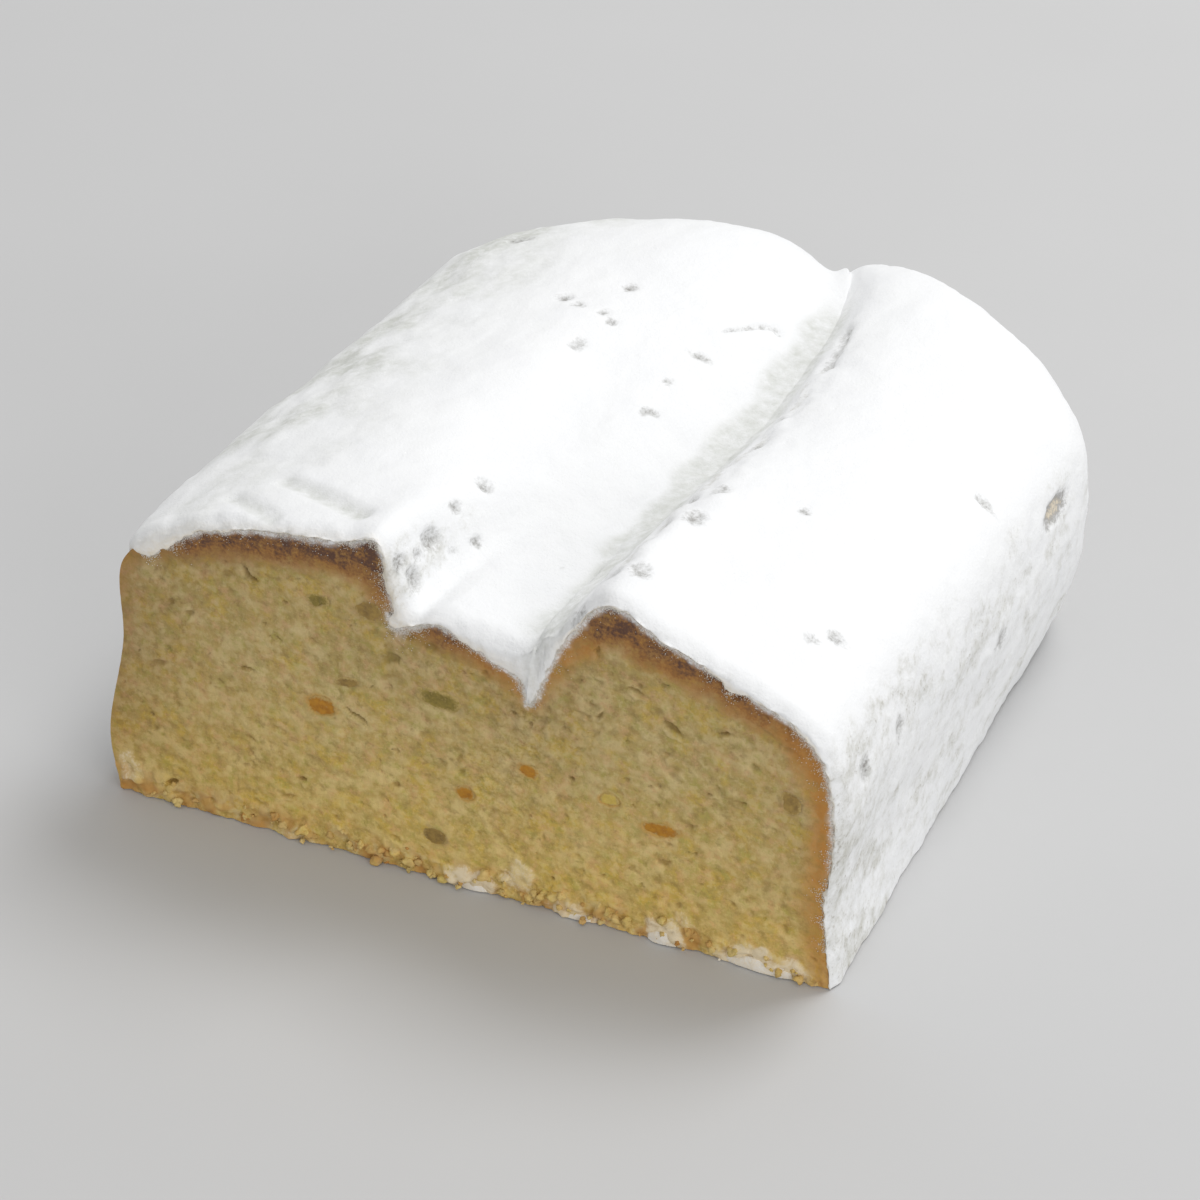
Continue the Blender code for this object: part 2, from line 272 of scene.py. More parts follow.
def layered(points, size, layers=3, seed=0):
    """Noise on noise: each layer has half the size and half the height of the last."""
    total = 0.0
    for layer in range(layers):
        total = total + noise(points, np.asarray(size) / 2**layer, seed + layer * 31) / 2**layer
    return total


probe = noise(np.random.default_rng(1).uniform(0, 90, (4000, 3)), 7.0)
print("noise runs from", probe.min().round(2), "to", probe.max().round(2))

# %% [markdown]
# Crumb is a foam that a knife has gone through. Dents drawn at random on the face would look
# stamped. Instead, round bubbles are scattered through space, one in each cell of a grid, and
# the cut plane slices them. A slice near a bubble's middle gives a wide deep pore, and one
# near its edge gives a small shallow one, so the sizes come out as varied as in real bread.

# %% Sliced bubbles
def bubbles(x, z, cell, largest, seed, share):
    """Depth in mm of the bubbles open at the plane y = 0, one bubble to each cell.

    A bubble has its middle c and radius r. Where (x, 0, z) lies inside it, the depth is the
    way along +Y out of it: c_y + sqrt(r^2 - (x - c_x)^2 - (z - c_z)^2).
    """
    home = np.floor(np.stack([x, np.zeros_like(x), z], axis=-1) / cell)
    depth = np.zeros_like(x)
    for step in product((-1, 0, 1), repeat=3):
        near = home + step
        middle = (near + corner_numbers(near, seed)) * cell
        size, chance, _ = np.moveaxis(corner_numbers(near, seed + 5), -1, 0)
        radius = largest * (0.25 + 0.75 * size**2) * (chance < share)
        room = radius**2 - (x - middle[..., 0]) ** 2 - (z - middle[..., 2]) ** 2
        reach = middle[..., 1] + np.sqrt(np.maximum(room, 0.0))
        inside = (room > 0) & (np.abs(middle[..., 1]) < np.sqrt(np.maximum(room, 0.0)))
        depth = np.maximum(depth, np.where(inside, reach, 0.0))
    return depth


# %% [markdown]
# ## Meshes from grids
# Every surface below is a grid of points. This cell turns point arrays and face lists into a
# Blender object at the origin, with its place in its mesh, and stores per-point numbers
# (how baked the crumb is, how thin the sugar) as attributes that the materials read.

# %% Mesh helpers
def grid_faces(index):
    """The quads between neighbouring entries of a grid of point numbers, as a list."""
    corners = (index[:-1, :-1], index[:-1, 1:], index[1:, 1:], index[1:, :-1])
    return np.stack(corners, axis=-1).reshape(-1, 4).tolist()


def make_piece(name, points, faces, material, stands_for=(), notes=None, sharp=None):
    """An object from points in mm. notes maps attribute names to one number per point."""
    mesh = bpy.data.meshes.new(name)
    mesh.from_pydata(to_frame(points).tolist(), [], faces)
    for note, values in (notes or {}).items():
        layer = mesh.attributes.new(note, "FLOAT", "POINT")
        layer.data.foreach_set("value", np.ascontiguousarray(values, np.float32).ravel())
    mesh.shade_smooth()
    if sharp:
        mesh.set_sharp_from_angle(angle=radians(sharp))
    mesh.materials.append(material)
    piece = bpy.data.objects.new(name, mesh)
    bpy.context.collection.objects.link(piece)
    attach(piece, "root")
    if stands_for:
        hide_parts(*stands_for)
    triangles = sum(len(polygon.vertices) - 2 for polygon in mesh.polygons)
    print(f"{name}: {len(mesh.vertices)} points, {triangles} triangles")
    return piece


# %% [markdown]
# ## Writing materials as sums
# A shader is a page of wires. Written as Python it can read like a formula: a small class
# wraps a socket, and adding or multiplying two of them adds the Math node. Colours go through
# Mix nodes, because a Math node would turn them grey.

# %% Sockets that take part in sums
class Signal:
    """A node's output. Sums with numbers or other signals make Math nodes."""

    def __init__(self, recipe, socket):
        self.recipe = recipe
        self.socket = socket

    def maths(self, operation, first, second):
        return self.recipe.add("ShaderNodeMath", {"operation": operation}, {0: first, 1: second})

    def __add__(self, other):
        return self.maths("ADD", self, other)

    def __sub__(self, other):
        return self.maths("SUBTRACT", self, other)

    def __mul__(self, other):
        return self.maths("MULTIPLY", self, other)

    __radd__ = __add__

    def between(self, low, high):
        """0 below low, 1 above high, smooth on the way. low may be the larger one."""
        settings = {"interpolation_type": "SMOOTHSTEP"}
        return self.recipe.add("ShaderNodeMapRange", settings, {0: self, 1: low, 2: high})


class Recipe:
    """A material being written down, one node at a time."""

    def __init__(self, name):
        self.material = bpy.data.materials.new(name)
        self.material.use_nodes = True
        self.tree = self.material.node_tree
        self.tree.nodes.clear()

    def add(self, kind, settings=None, inputs=None, output=0):
        """Any node: its type, its settings, then the numbers or signals of its inputs."""
        node = self.tree.nodes.new(kind)
        for key, value in (settings or {}).items():
            setattr(node, key, value)
        for key, value in (inputs or {}).items():
            if isinstance(value, Signal):
                self.tree.links.new(value.socket, node.inputs[key])
            else:
                node.inputs[key].default_value = value
        return Signal(self, node.outputs[output])

    def noted(self, name):
        """An attribute of the mesh."""
        return self.add("ShaderNodeAttribute", {"attribute_name": name}, output="Fac")

    def grain(self, size, detail=2.0, roughness=0.5, shift=0.0):
        """Noise from 0 to 1 with lumps of size mm. shift picks another part of the noise."""
        place = self.add("ShaderNodeTexCoord", output="Object")
        moved = self.add("ShaderNodeMapping", None, {0: place, 1: (shift, shift, shift)})
        values = {"Vector": moved, "Scale": 1000.0 / size, "Detail": detail,
                  "Roughness": roughness}
        return self.add("ShaderNodeTexNoise", None, values)

    def mix(self, share, first, second, blend="MIX"):
        """The first colour where share is 0, the second where it is 1. MULTIPLY dyes it."""
        first, second = (tuple(c) + (1.0,) if isinstance(c, tuple) and len(c) == 3 else c
                         for c in (first, second))
        settings = {"data_type": "RGBA", "blend_type": blend}
        return self.add("ShaderNodeMix", settings, {0: share, 6: first, 7: second}, output=2)

    def bump(self, height, distance, strength):
        """A normal tilted by height, which counts as distance mm from 0 to 1."""
        values = {"Height": height, "Distance": distance * 0.001, "Strength": strength}
        return self.add("ShaderNodeBump", None, values)

    def finish(self, **sockets):
        """The Principled shader and the output. Underscores in names stand for spaces."""
        values = {name.replace("_", " "): value for name, value in sockets.items()}
        surface = self.add("ShaderNodeBsdfPrincipled", None, values)
        end = self.tree.nodes.new("ShaderNodeOutputMaterial")
        self.tree.links.new(surface.socket, end.inputs["Surface"])
        return self.material


# %% [markdown]
# ## The finish of the crumb and the crust
# Stollen crumb is golden because of butter and egg. Where a pore opens, the light is lost, and
# the material paints it olive brown as painted shade; raised crumbs catch the light and get a
# painted highlight. The crust is the same dough, browned from the outside in: dark brown skin,
# orange brown below, then crumb. The mesh notes how baked and how charred each point is, and how
# high it stands, so the material only mixes colours by those notes and breaks them up with
# grain. Towards the foot the crumb is painted brighter, as painted light.

# %% Crumb and crust
CRUMB, CRUMB_PALE_AND_HIGHLIGHT, PORE_SHADE = (0.49, 0.355, 0.13), (0.67, 0.545, 0.28), (0.23, 0.15, 0.05)
CRUMB_YELLOW, CRUMB_OLIVE = (0.54, 0.385, 0.085), (0.40, 0.31, 0.12)
CRUMB_ROSE, CRUMB_GREEN = (0.58, 0.37, 0.185), (0.41, 0.355, 0.10)
PAINTED_LIGHT_AT_FOOT, AT_MARGIN = (1.32, 1.25, 0.94), (0.72, 0.67, 0.68)
CRUST_ORANGE, CRUST_DARK = (0.475, 0.222, 0.052), (0.118, 0.062, 0.043)
SUGAR_WHITE, SUGAR_CREAM = (0.86, 0.865, 0.87), (0.80, 0.68, 0.48)
AMBER_STAIN, DUSK_STAIN = (0.50, 0.27, 0.06), (0.27, 0.18, 0.085)


def crumb_and_crust():
    """Golden crumb, pores, browned band and sugar dust near the rim."""
    recipe = Recipe("crumb_and_crust")
    baked, charred, margin = (recipe.noted(name) for name in ("baked", "charred", "margin"))
    relief, rough, height = (recipe.noted(name) for name in ("relief", "rough", "height"))
    amber, dusk, dust = (recipe.noted(name) for name in ("amber", "dusk", "dust"))
    wide = recipe.grain(11.0, 2.0)
    patch = recipe.grain(4.2, 2.0, 0.5, shift=3.0)
    tint = recipe.grain(2.6, 4.0, 0.7, shift=9.0)
    middle = recipe.grain(1.7, 3.0, 0.6, shift=5.0)
    fine = recipe.grain(0.55, 3.0, 0.65, shift=7.0)
    blotch = recipe.grain(2.4, 3.0, 0.6, shift=11.0)
    spread = (blotch - 0.5) * 1.4 + (middle - 0.5) * 0.8 + (fine - 0.5) * 1.0

    colour = recipe.mix(wide.between(0.42, 0.62) * 0.35, CRUMB, CRUMB_OLIVE)
    colour = recipe.mix(patch.between(0.51, 0.66) * 0.70, colour, CRUMB_YELLOW)
    colour = recipe.mix(patch.between(0.47, 0.34) * 0.50, colour, CRUMB_PALE_AND_HIGHLIGHT)
    colour = recipe.mix(tint.between(0.50, 0.66) * 0.70, colour, CRUMB_ROSE)
    colour = recipe.mix(tint.between(0.48, 0.34) * 0.70, colour, CRUMB_GREEN)
    colour = recipe.mix(blotch.between(0.51, 0.68) * 0.45, colour, CRUMB_PALE_AND_HIGHLIGHT)
    colour = recipe.mix(blotch.between(0.48, 0.34) * 0.55, colour, CRUMB_OLIVE)
    colour = recipe.mix(middle.between(0.51, 0.68) * 0.42, colour, CRUMB_PALE_AND_HIGHLIGHT)
    # Here and two lines down, the darker flecks from noise are painted shade of pores too small for
    # the mesh.
    colour = recipe.mix(middle.between(0.47, 0.33) * 0.34, colour, PORE_SHADE)
    colour = recipe.mix(fine.between(0.54, 0.70) * 0.24, colour, CRUMB_PALE_AND_HIGHLIGHT)
    colour = recipe.mix(fine.between(0.45, 0.30) * 0.20, colour, PORE_SHADE)
    colour = recipe.mix(rough * fine.between(0.42, 0.60) * 0.4, colour, CRUMB_PALE_AND_HIGHLIGHT)
    # Painted shade in the sunk pores and tears, and a painted highlight on raised crumb, lips and
    # granules.
    colour = recipe.mix(relief.between(-0.08, -0.60) * 0.55, colour, PORE_SHADE)
    colour = recipe.mix(relief.between(0.05, 0.35) * 0.45, colour, CRUMB_PALE_AND_HIGHLIGHT)
    # Painted light: the crumb is brightened towards the foot.
    colour = recipe.mix(height.between(42.0, -12.0), colour, PAINTED_LIGHT_AT_FOOT, "MULTIPLY")
    at_base = height.between(7.0, 2.0)
    colour = recipe.mix(blotch.between(0.50, 0.62) * at_base * 0.6, colour, CRUMB_PALE_AND_HIGHLIGHT)
    colour = recipe.mix(patch.between(0.50, 0.36) * at_base * 0.6, colour, CRUST_ORANGE)
    colour = recipe.mix(margin, colour, AT_MARGIN, "MULTIPLY")
    colour = recipe.mix((amber + spread * 0.8).between(0.1, 1.1) * 0.8, colour, AMBER_STAIN)
    colour = recipe.mix((dusk + spread * 0.8).between(0.1, 1.1) * 0.6, colour, DUSK_STAIN)

    colour = recipe.mix(baked * (1.0 + spread * 1.2), colour, CRUST_ORANGE)
    speckle = (blotch - 0.5) * 1.2 + (middle - 0.5) * 1.8 + (fine - 0.5) * 2.6
    colour = recipe.mix(charred * (1.0 + speckle), colour, CRUST_DARK)
    sugar = recipe.mix(height.between(14.0, 7.0), SUGAR_WHITE, SUGAR_CREAM)
    haze = dust.between(0.1, 1.1) * 0.48
    powdered = (dust + (fine - 0.5) * 1.9 + (middle - 0.5) * 1.3).between(0.40, 1.05)
    colour = recipe.mix(haze + powdered * dust.between(0.0, 0.3) * 0.50, colour, sugar)

    normal = recipe.bump(fine * 0.5 + middle * 0.9, 0.30, 0.7)
    return recipe.finish(Base_Color=colour, Roughness=0.88, Normal=normal,
                         Specular_IOR_Level=0.25)


crumb_material = crumb_and_crust()
print("nodes in the crumb:", len(crumb_material.node_tree.nodes))

# %% [markdown]
# ## The finish of the sugar
# Icing sugar is a matt white powder. It is never quite even: where it lies thin, the brown
# crust greys it in specks and streaks, and where it has come off altogether the crust shows.
# The mesh notes how thin the sugar is, how far it is veiled grey, partly as thin sugar and
# partly as painted shade, where small pits are, where it is bare, and where crumb has made it
# creamy. Pits, hollows and the ring round each bare spot are darkened as painted shade.

# %% Icing sugar
VEIL_SHADE_GREY, THIN_SUGAR_AND_SHADE, SPECKS = (0.62, 0.63, 0.595), (0.59, 0.585, 0.54), (0.36, 0.33, 0.28)
HOLLOW_SHADE, HOLLOW_DEEP_SHADE = (0.50, 0.50, 0.49), (0.23, 0.215, 0.20)
BARE_CRUST, BARE_EDGE_SHADE = (0.72, 0.64, 0.51), (0.25, 0.24, 0.225)


def icing_sugar():
    """White powder that thins to grey and gives way to crust where it is bare."""
    recipe = Recipe("icing_sugar")
    thin_and_shade, veil_and_shade, pit, bare = (recipe.noted(name) for name in ("thin_and_shade", "veil_and_shade", "pit", "bare"))
    cream = recipe.noted("cream")
    fine = recipe.grain(0.55, 3.0, 0.7)
    middle = recipe.grain(1.5, 4.0, 0.68, shift=2.0)
    blotch = recipe.grain(3.2, 3.0, 0.6, shift=5.0)
    wide = recipe.grain(9.0, 2.0, shift=1.0)

    colour = recipe.mix(wide.between(0.35, 0.7) * 0.2, SUGAR_WHITE, (0.80, 0.81, 0.83))
    # The veil note is partly thin sugar and partly painted shade: on the crease slope, the left
    # brow and the plug in the crease.
    veiled_and_shaded = veil_and_shade * (0.9 + (middle - 0.5) * 1.9 + (blotch - 0.5) * 2.2)
    colour = recipe.mix(veiled_and_shaded, colour, VEIL_SHADE_GREY)
    # Grey where the sugar is thin, and in the hollows and pits, where it is painted shade.
    worn = thin_and_shade + (blotch - 0.5) * 1.3 + (middle - 0.5) * 1.0 + (fine - 0.5) * 0.5
    colour = recipe.mix(worn.between(0.15, 1.15) * thin_and_shade.between(0.0, 0.3), colour, THIN_SUGAR_AND_SHADE)
    speck = thin_and_shade * 0.55 + (fine - 0.5) * 1.8 + (middle - 0.5) * 1.6
    colour = recipe.mix(speck.between(0.46, 0.90) * thin_and_shade.between(0.1, 0.6) * 0.6, colour, SPECKS)
    # Painted shade: the pits, the crack and the hollows are greyed, darkest at their cores.
    hole = pit * 0.8 + (fine - 0.5) * 1.1 + (middle - 0.5) * 1.5
    shown = pit.between(0.04, 0.5)
    colour = recipe.mix(hole.between(0.10, 0.80) * shown * 0.7, colour, HOLLOW_SHADE)
    colour = recipe.mix(hole.between(0.62, 1.10) * shown * 0.75, colour, HOLLOW_DEEP_SHADE)
    patch = bare + (fine - 0.5) * 1.1 + (middle - 0.5) * 1.1
    # Painted shade: a dark grey ring round each bare spot, where its dent lies in shade; the crust
    # colour in the middle is real.
    colour = recipe.mix(patch.between(0.0, 0.8) * bare.between(0.0, 0.4) * 0.80, colour, BARE_EDGE_SHADE)
    colour = recipe.mix(patch.between(0.60, 1.05) * bare.between(0.3, 0.8), colour, BARE_CRUST)
    creamy = cream * (1.0 + (fine - 0.5) * 1.8 + (middle - 0.5) * 1.8)
    colour = recipe.mix(creamy, colour, SUGAR_CREAM)

    powder = fine * 0.7 + middle * 0.9 - hole.between(0.5, 0.9) * shown * 0.5
    normal = recipe.bump(powder, 0.26, 0.6)
    return recipe.finish(Base_Color=colour, Roughness=0.92, Normal=normal,
                         Specular_IOR_Level=0.2)


sugar_material = icing_sugar()
print("nodes in the sugar:", len(sugar_material.node_tree.nodes))

# %% [markdown]
# ## The finish of the fruit
# Candied peel is boiled in syrup until it is glassy. Its colour is cloudy, it is a little
# glossy, and crumbs cling to its edge. One function makes all four kinds from a light and a
# dark colour.

# %% Candied fruit
FRUIT_COLOURS = {
    "orange_peel": ((0.48, 0.220, 0.018), (0.36, 0.145, 0.012)),
    "citron_peel": ((0.29, 0.215, 0.045), (0.19, 0.140, 0.026)),
    "lemon_peel": ((0.62, 0.46, 0.11), (0.52, 0.37, 0.075)),
    "raisin": ((0.34, 0.220, 0.058), (0.21, 0.130, 0.038)),
}


def candied(name, light, dark):
    """Moist fruit: cloudy colour, soft gloss, and crumb at the rim."""
    recipe = Recipe(name)
    cloud = recipe.grain(1.6, 3.0, 0.6)
    fine = recipe.grain(0.45, 2.0, 0.6, shift=4.0)
    colour = recipe.mix(cloud.between(0.35, 0.68), light, dark)
    rim = recipe.noted("rim") + (fine - 0.5) * 1.5 + (cloud - 0.5) * 1.7
    colour = recipe.mix(rim.between(0.10, 1.05) * 0.9, colour, CRUMB)
    normal = recipe.bump(cloud + fine * 0.4, 0.25, 0.5)
    return recipe.finish(Base_Color=colour, Roughness=0.50, Normal=normal,
                         Specular_IOR_Level=0.35)


fruit_materials = {name: candied(name, *pair) for name, pair in FRUIT_COLOURS.items()}
print("fruit finishes:", sorted(fruit_materials))

# %% [markdown]
# ## The cut face
# The face is bounded by four lines: the base, the two walls and the top. A grid that follows
# all four is a Coons patch: blend the base into the top, blend the left wall into the right
# one, add both, and take away the blend of the four corners, which both already hold.
# Every pore and tear is then a push along Y.

# %% The grid of the cut face
TOP_COLUMNS, WALL_COLUMNS = 400, 200
shoulder_left, shoulder_right = mark_at("left shoulder"), mark_at("right shoulder")
at_left_wall = evenly(0.0, shoulder_left, WALL_COLUMNS)
at_top = evenly(shoulder_left, shoulder_right, TOP_COLUMNS)
at_right_wall = evenly(shoulder_right, len(NAMES) - 1, WALL_COLUMNS)
loaf_at = np.concatenate([at_left_wall[:-1], at_top, at_right_wall[1:]])


def coons_patch(base, top, left, right):
    """Grid (up the walls, along the base) between four border lines that share corners."""
    u = np.linspace(0.0, 1.0, len(base))[None, :, None]
    v = np.linspace(0.0, 1.0, len(left))[:, None, None]
    ruled_up = (1 - v) * base[None] + v * top[None]
    ruled_across = (1 - u) * left[:, None] + u * right[:, None]
    corners = ((1 - u) * (1 - v) * base[0] + u * (1 - v) * base[-1]
               + (1 - u) * v * top[0] + u * v * top[-1])
    return ruled_up + ruled_across - corners


top_line = curve_through(AT_CUT, at_top)
left_line = curve_through(AT_CUT, at_left_wall)
right_line = curve_through(AT_CUT, at_right_wall)[::-1]
share = (top_line[:, 0] - top_line[0, 0]) / (top_line[-1, 0] - top_line[0, 0])
base_line = np.stack([left_line[0, 0] + (right_line[0, 0] - left_line[0, 0]) * share,
                      np.zeros_like(share)], axis=-1)
face = coons_patch(base_line, top_line, left_line, right_line)
print("cut face grid:", face.shape[:2], "points")

# %% [markdown]
# ### How deep the crust has browned
# The top browned most, the step and the crest almost to black. Where dough lay on dough, in
# the crease and under the step, it hardly browned, and the sides stay orange. The table gives
# for each mark how far in the browning reaches and how dark its outside is.

# %% Browning of each mark: reach in mm, strength, reach of the dark skin in mm, darkness
BROWNING = {
    "left foot": (2.5, 0.4, 0.0, 0.0), "left flank": (0.5, 0.15, 0.0, 0.0),
    "left wall": (0.5, 0.15, 0.0, 0.0), "left shoulder": (1.2, 0.5, 0.4, 0.2),
    "left brow": (4.6, 0.95, 4.2, 0.74), "left top": (5.6, 1.0, 4.8, 0.78),
    "left crown": (7.0, 1.0, 5.6, 0.90), "step lip": (8.4, 1.0, 7.0, 1.0),
    "step foot": (1.8, 0.7, 0.6, 0.3), "shelf": (4.4, 1.0, 3.4, 0.90),
    "slope": (3.5, 0.75, 0.5, 0.2), "crease": (1.4, 0.5, 0.0, 0.0),
    "crease wall": (4.0, 0.70, 0.8, 0.25), "crest": (8.4, 1.0, 7.4, 0.80),
    "right top": (6.2, 1.0, 4.8, 0.70), "right brow": (5.0, 1.0, 3.8, 0.62),
    "right shoulder": (4.8, 1.0, 2.9, 0.34), "right wall": (3.9, 0.90, 1.0, 0.06),
    "right flank": (4.0, 0.68, 0.0, 0.0), "right foot": (3.5, 0.6, 0.0, 0.0),
}
BAKED_FADE, CHARRED_FADE, MARGIN_FADE = 3.5, 5.0, 10.0
browning = np.array([BROWNING[name] for name in NAMES]).T


def reached(points, reaches, wander):
    """How far the outline reaches beyond each (x, z), in mm, and from which place along it.

    It is the greatest value of reach (1 + wander) - distance over all places of the outline.
    """
    fine_at = np.linspace(0.0, len(NAMES) - 1, 900)
    line = curve_through(AT_CUT, fine_at)
    line_reach = np.interp(fine_at, np.arange(len(NAMES)), reaches)
    beyond, place = np.empty(len(points)), np.empty(len(points))
    for chunk in np.array_split(np.arange(len(points)), 40):
        gaps = np.hypot(points[chunk, 0, None] - line[:, 0], points[chunk, 1, None] - line[:, 1])
        inside_by = line_reach * (1.0 + wander[chunk, None]) - gaps
        beyond[chunk] = inside_by.max(axis=1)
        place[chunk] = fine_at[inside_by.argmax(axis=1)]
    return beyond, place


def browned(reaches, strengths, swing, fade, start):
    """Share of browning over the face: full within the reach, then fading inwards."""
    beyond, place = reached(face.reshape(-1, 2), reaches, swing * wander.ravel())
    share = np.interp(place, np.arange(len(NAMES)), strengths)
    return (share * np.clip(beyond / fade + start, 0.0, 1.0)).reshape(face.shape[:2])


face_points = np.stack([face[..., 0], np.zeros(face.shape[:2]), face[..., 1]], axis=-1)
wander = layered(face_points, 5.0, 3, seed=41)
face_depth = -reached(face.reshape(-1, 2), np.zeros(len(NAMES)), wander.ravel())[0]
face_depth = face_depth.reshape(face.shape[:2])
face_baked = browned(browning[0], browning[1], 0.20, BAKED_FADE, 0.43)
face_charred = browned(browning[2], browning[3], 0.25, CHARRED_FADE, 0.5)
under = smooth(1.1 - face_points[..., 2] / 6.0) * (0.20 + 0.65 * layered(face_points, 3.0, 2, 43))
face_baked = np.maximum(face_baked, under)
face_margin = 0.80 * np.exp(-face_depth / MARGIN_FADE) * smooth(face_points[..., 2] / 18.0)
face_margin = face_margin + 0.28 * smooth((-8.0 - face_points[..., 0]) / 62.0)
print("share of the face that is crust:", (face_baked > 0.5).mean().round(3))

# %% [markdown]
# ### Tears
# Short tears open where the knife dragged. The largest have places of their own and the rest
# are drawn at random. A tear could be a curve cut into the mesh. Here it is a tilted oval
# whose outline is bent by noise, with a raised lip of crumb below it that the material paints
# paler as a painted highlight.

# %% Tears in the crumb
NAMED_TEARS = [  # middle X, Z, length, width, tilt in degrees, depth in mm
    (37.0, 44.0, 5.6, 1.5, -30, 0.9), (31.2, 49.2, 4.6, 1.1, -4, 0.7),
    (-18.4, 29.4, 6.4, 1.1, -34, 0.8), (-29.1, 13.0, 1.7, 1.3, 20, 1.0),
    (-54.2, 4.6, 2.4, 1.7, 0, 1.2), (-36.5, 52.5, 5.2, 1.2, -42, 0.8),
    (-38.0, 33.0, 4.6, 1.0, -8, 0.6), (-32.0, 41.0, 3.4, 0.9, -50, 0.5),
    (46.0, 45.4, 3.6, 0.9, 12, 0.7), (22.0, 42.0, 3.6, 0.9, -4, 0.5),
]
TEAR_COUNT = 170
draw = np.random.default_rng(12)
small_tears = np.column_stack([
    draw.uniform(-62, 63, TEAR_COUNT), draw.uniform(3, 56, TEAR_COUNT),
    1.4 + 2.8 * draw.uniform(size=TEAR_COUNT) ** 2, draw.uniform(1.0, 2.1, TEAR_COUNT),
    draw.normal(-8, 30, TEAR_COUNT), 0.20 + 0.35 * draw.uniform(size=TEAR_COUNT) ** 2])


def oval(x, z, middle, length, width, tilt):
    """1 in the middle of a tilted oval, 0 at its edge, less beyond."""
    dx, dz = x - middle[0], z - middle[1]
    along = dx * cos(radians(tilt)) + dz * sin(radians(tilt))
    across = dz * cos(radians(tilt)) - dx * sin(radians(tilt))
    return 1.0 - np.hypot(along / (length / 2), across / (width / 2))


def bend(points, size, amount, seed):
    """The points moved about by noise, so that round things come out ragged."""
    return points + amount * np.stack(
        [noise(points, size, seed), np.zeros(points.shape[:-1]), noise(points, size, seed + 1)],
        axis=-1)


bent = bend(bend(face_points, 3.0, 0.9, seed=51), 1.1, 0.35, seed=57)
x, z = bent[..., 0], bent[..., 2]
tears, lips = np.zeros_like(x), np.zeros_like(x)
for tear_x, tear_z, length, width, tilt, depth in [*NAMED_TEARS, *small_tears.tolist()]:
    opening = oval(x, z, (tear_x, tear_z), length, width, tilt)
    tears = np.maximum(tears, depth * smooth(opening * 1.5))
    below = oval(x, z, (tear_x + 0.2, tear_z - 0.8 * width), length * 0.9, width * 0.9, tilt)
    lips = np.maximum(lips, 0.35 * depth * smooth(below * 1.5))
print("tears:", len(NAMED_TEARS) + TEAR_COUNT)

# %% [markdown]
# ### Pores and rough crumb
# Two sizes of sliced bubbles give the pores. The seam of the fold runs down from the crease
# as rough pale crumb, and the crumb is rough and torn along the foot too, where the knife left
# the dough.

# %% Pores and rough places
pores = (0.55 * bubbles(x / 1.3, z, 2.2, 0.62, 3, share=0.35)
         + 0.5 * bubbles(x / 1.2, z, 1.1, 0.40, 4, share=0.6))
seam_x = 13.5 - 9.0 * smooth((42.0 - face_points[..., 2]) / 30.0)
seam = np.exp(-((face_points[..., 0] - seam_x) / 6.0) ** 2) * smooth(face_points[..., 2] / 26.0)
seam = seam * smooth((43.0 - face_points[..., 2]) / 4.0)
foot = smooth(1.4 - face_points[..., 2] / (4.6 + 2.0 * noise(face_points, 9.0, seed=63)))
face_rough = np.clip(seam * 0.8 + foot * 0.9, 0.0, 1.0)

print("share of the face that is rough:", (face_rough > 0.5).mean().round(3))

# %% [markdown]
# ### All of the relief
# A slow wave makes the face a little uneven, as a soft loaf is after the knife. Granules and
# lumps lie on it, strongest where the crumb is rough. Clods stand out along the foot: they
# are bubbles again, added instead of taken away.

# %% Relief of the crumb
wave = 0.22 * layered(face_points, 16.0, 2, seed=61)
granules = layered(face_points, 1.5, 2, seed=67)
lumpy = layered(face_points, 3.4, 2, seed=69)
at_clods = bend(bent, 1.8, 0.7, seed=62)
clods = np.minimum(bubbles(at_clods[..., 0] / 1.3, at_clods[..., 2], 3.0, 1.9, 7, share=0.7), 1.5)
clods = clods + 0.4 * bubbles(at_clods[..., 0], at_clods[..., 2], 1.6, 0.9, 8, share=0.5)
clods = clods * (0.3 + 0.7 * smooth(face_points[..., 2] / 2.4))
inner = smooth((face_depth - 0.3) / 1.6)
relief = wave * smooth(face_depth / 6.0) + granules * (0.06 + 0.05 * inner + 0.18 * face_rough)
relief = relief + lumpy * (0.14 + 0.40 * face_rough) * inner + 0.55 * clods * foot * inner
relief = relief + (lips - np.minimum(pores, 0.6) * (1 - 0.5 * face_baked) - tears) * inner
relief = np.minimum(relief, 0.06 + 0.28 * inner + 0.85 * foot)
print("relief from", relief.min().round(2), "to", relief.max().round(2), "mm")

# %% [markdown]
# ### Room for the fruit
# Each piece of fruit sits in the crumb. Its place and size come from its solid in the frame.
# The crumb sinks a little under it, and a ragged edge of crumb stays over its rim.

# %% Fruit in the face
FRUIT_NODES = [node for node in sorted(frame["nodes"]) if node.split("_")[0] in
               ("orange", "citron", "lemon", "raisin")]
slot_of = {entry["node"]: entry["material_slot"] for entry in frame["record"]["subparts"]}
TILTS = {"orange_peel_large": -6, "orange_peel_long": 4, "orange_peel_middle": -14,
         "citron_peel_long": -5, "citron_peel_top": 8, "lemon_peel": 10, "raisin_step": 12,
         "raisin_right": 8, "raisin_seam": 12}


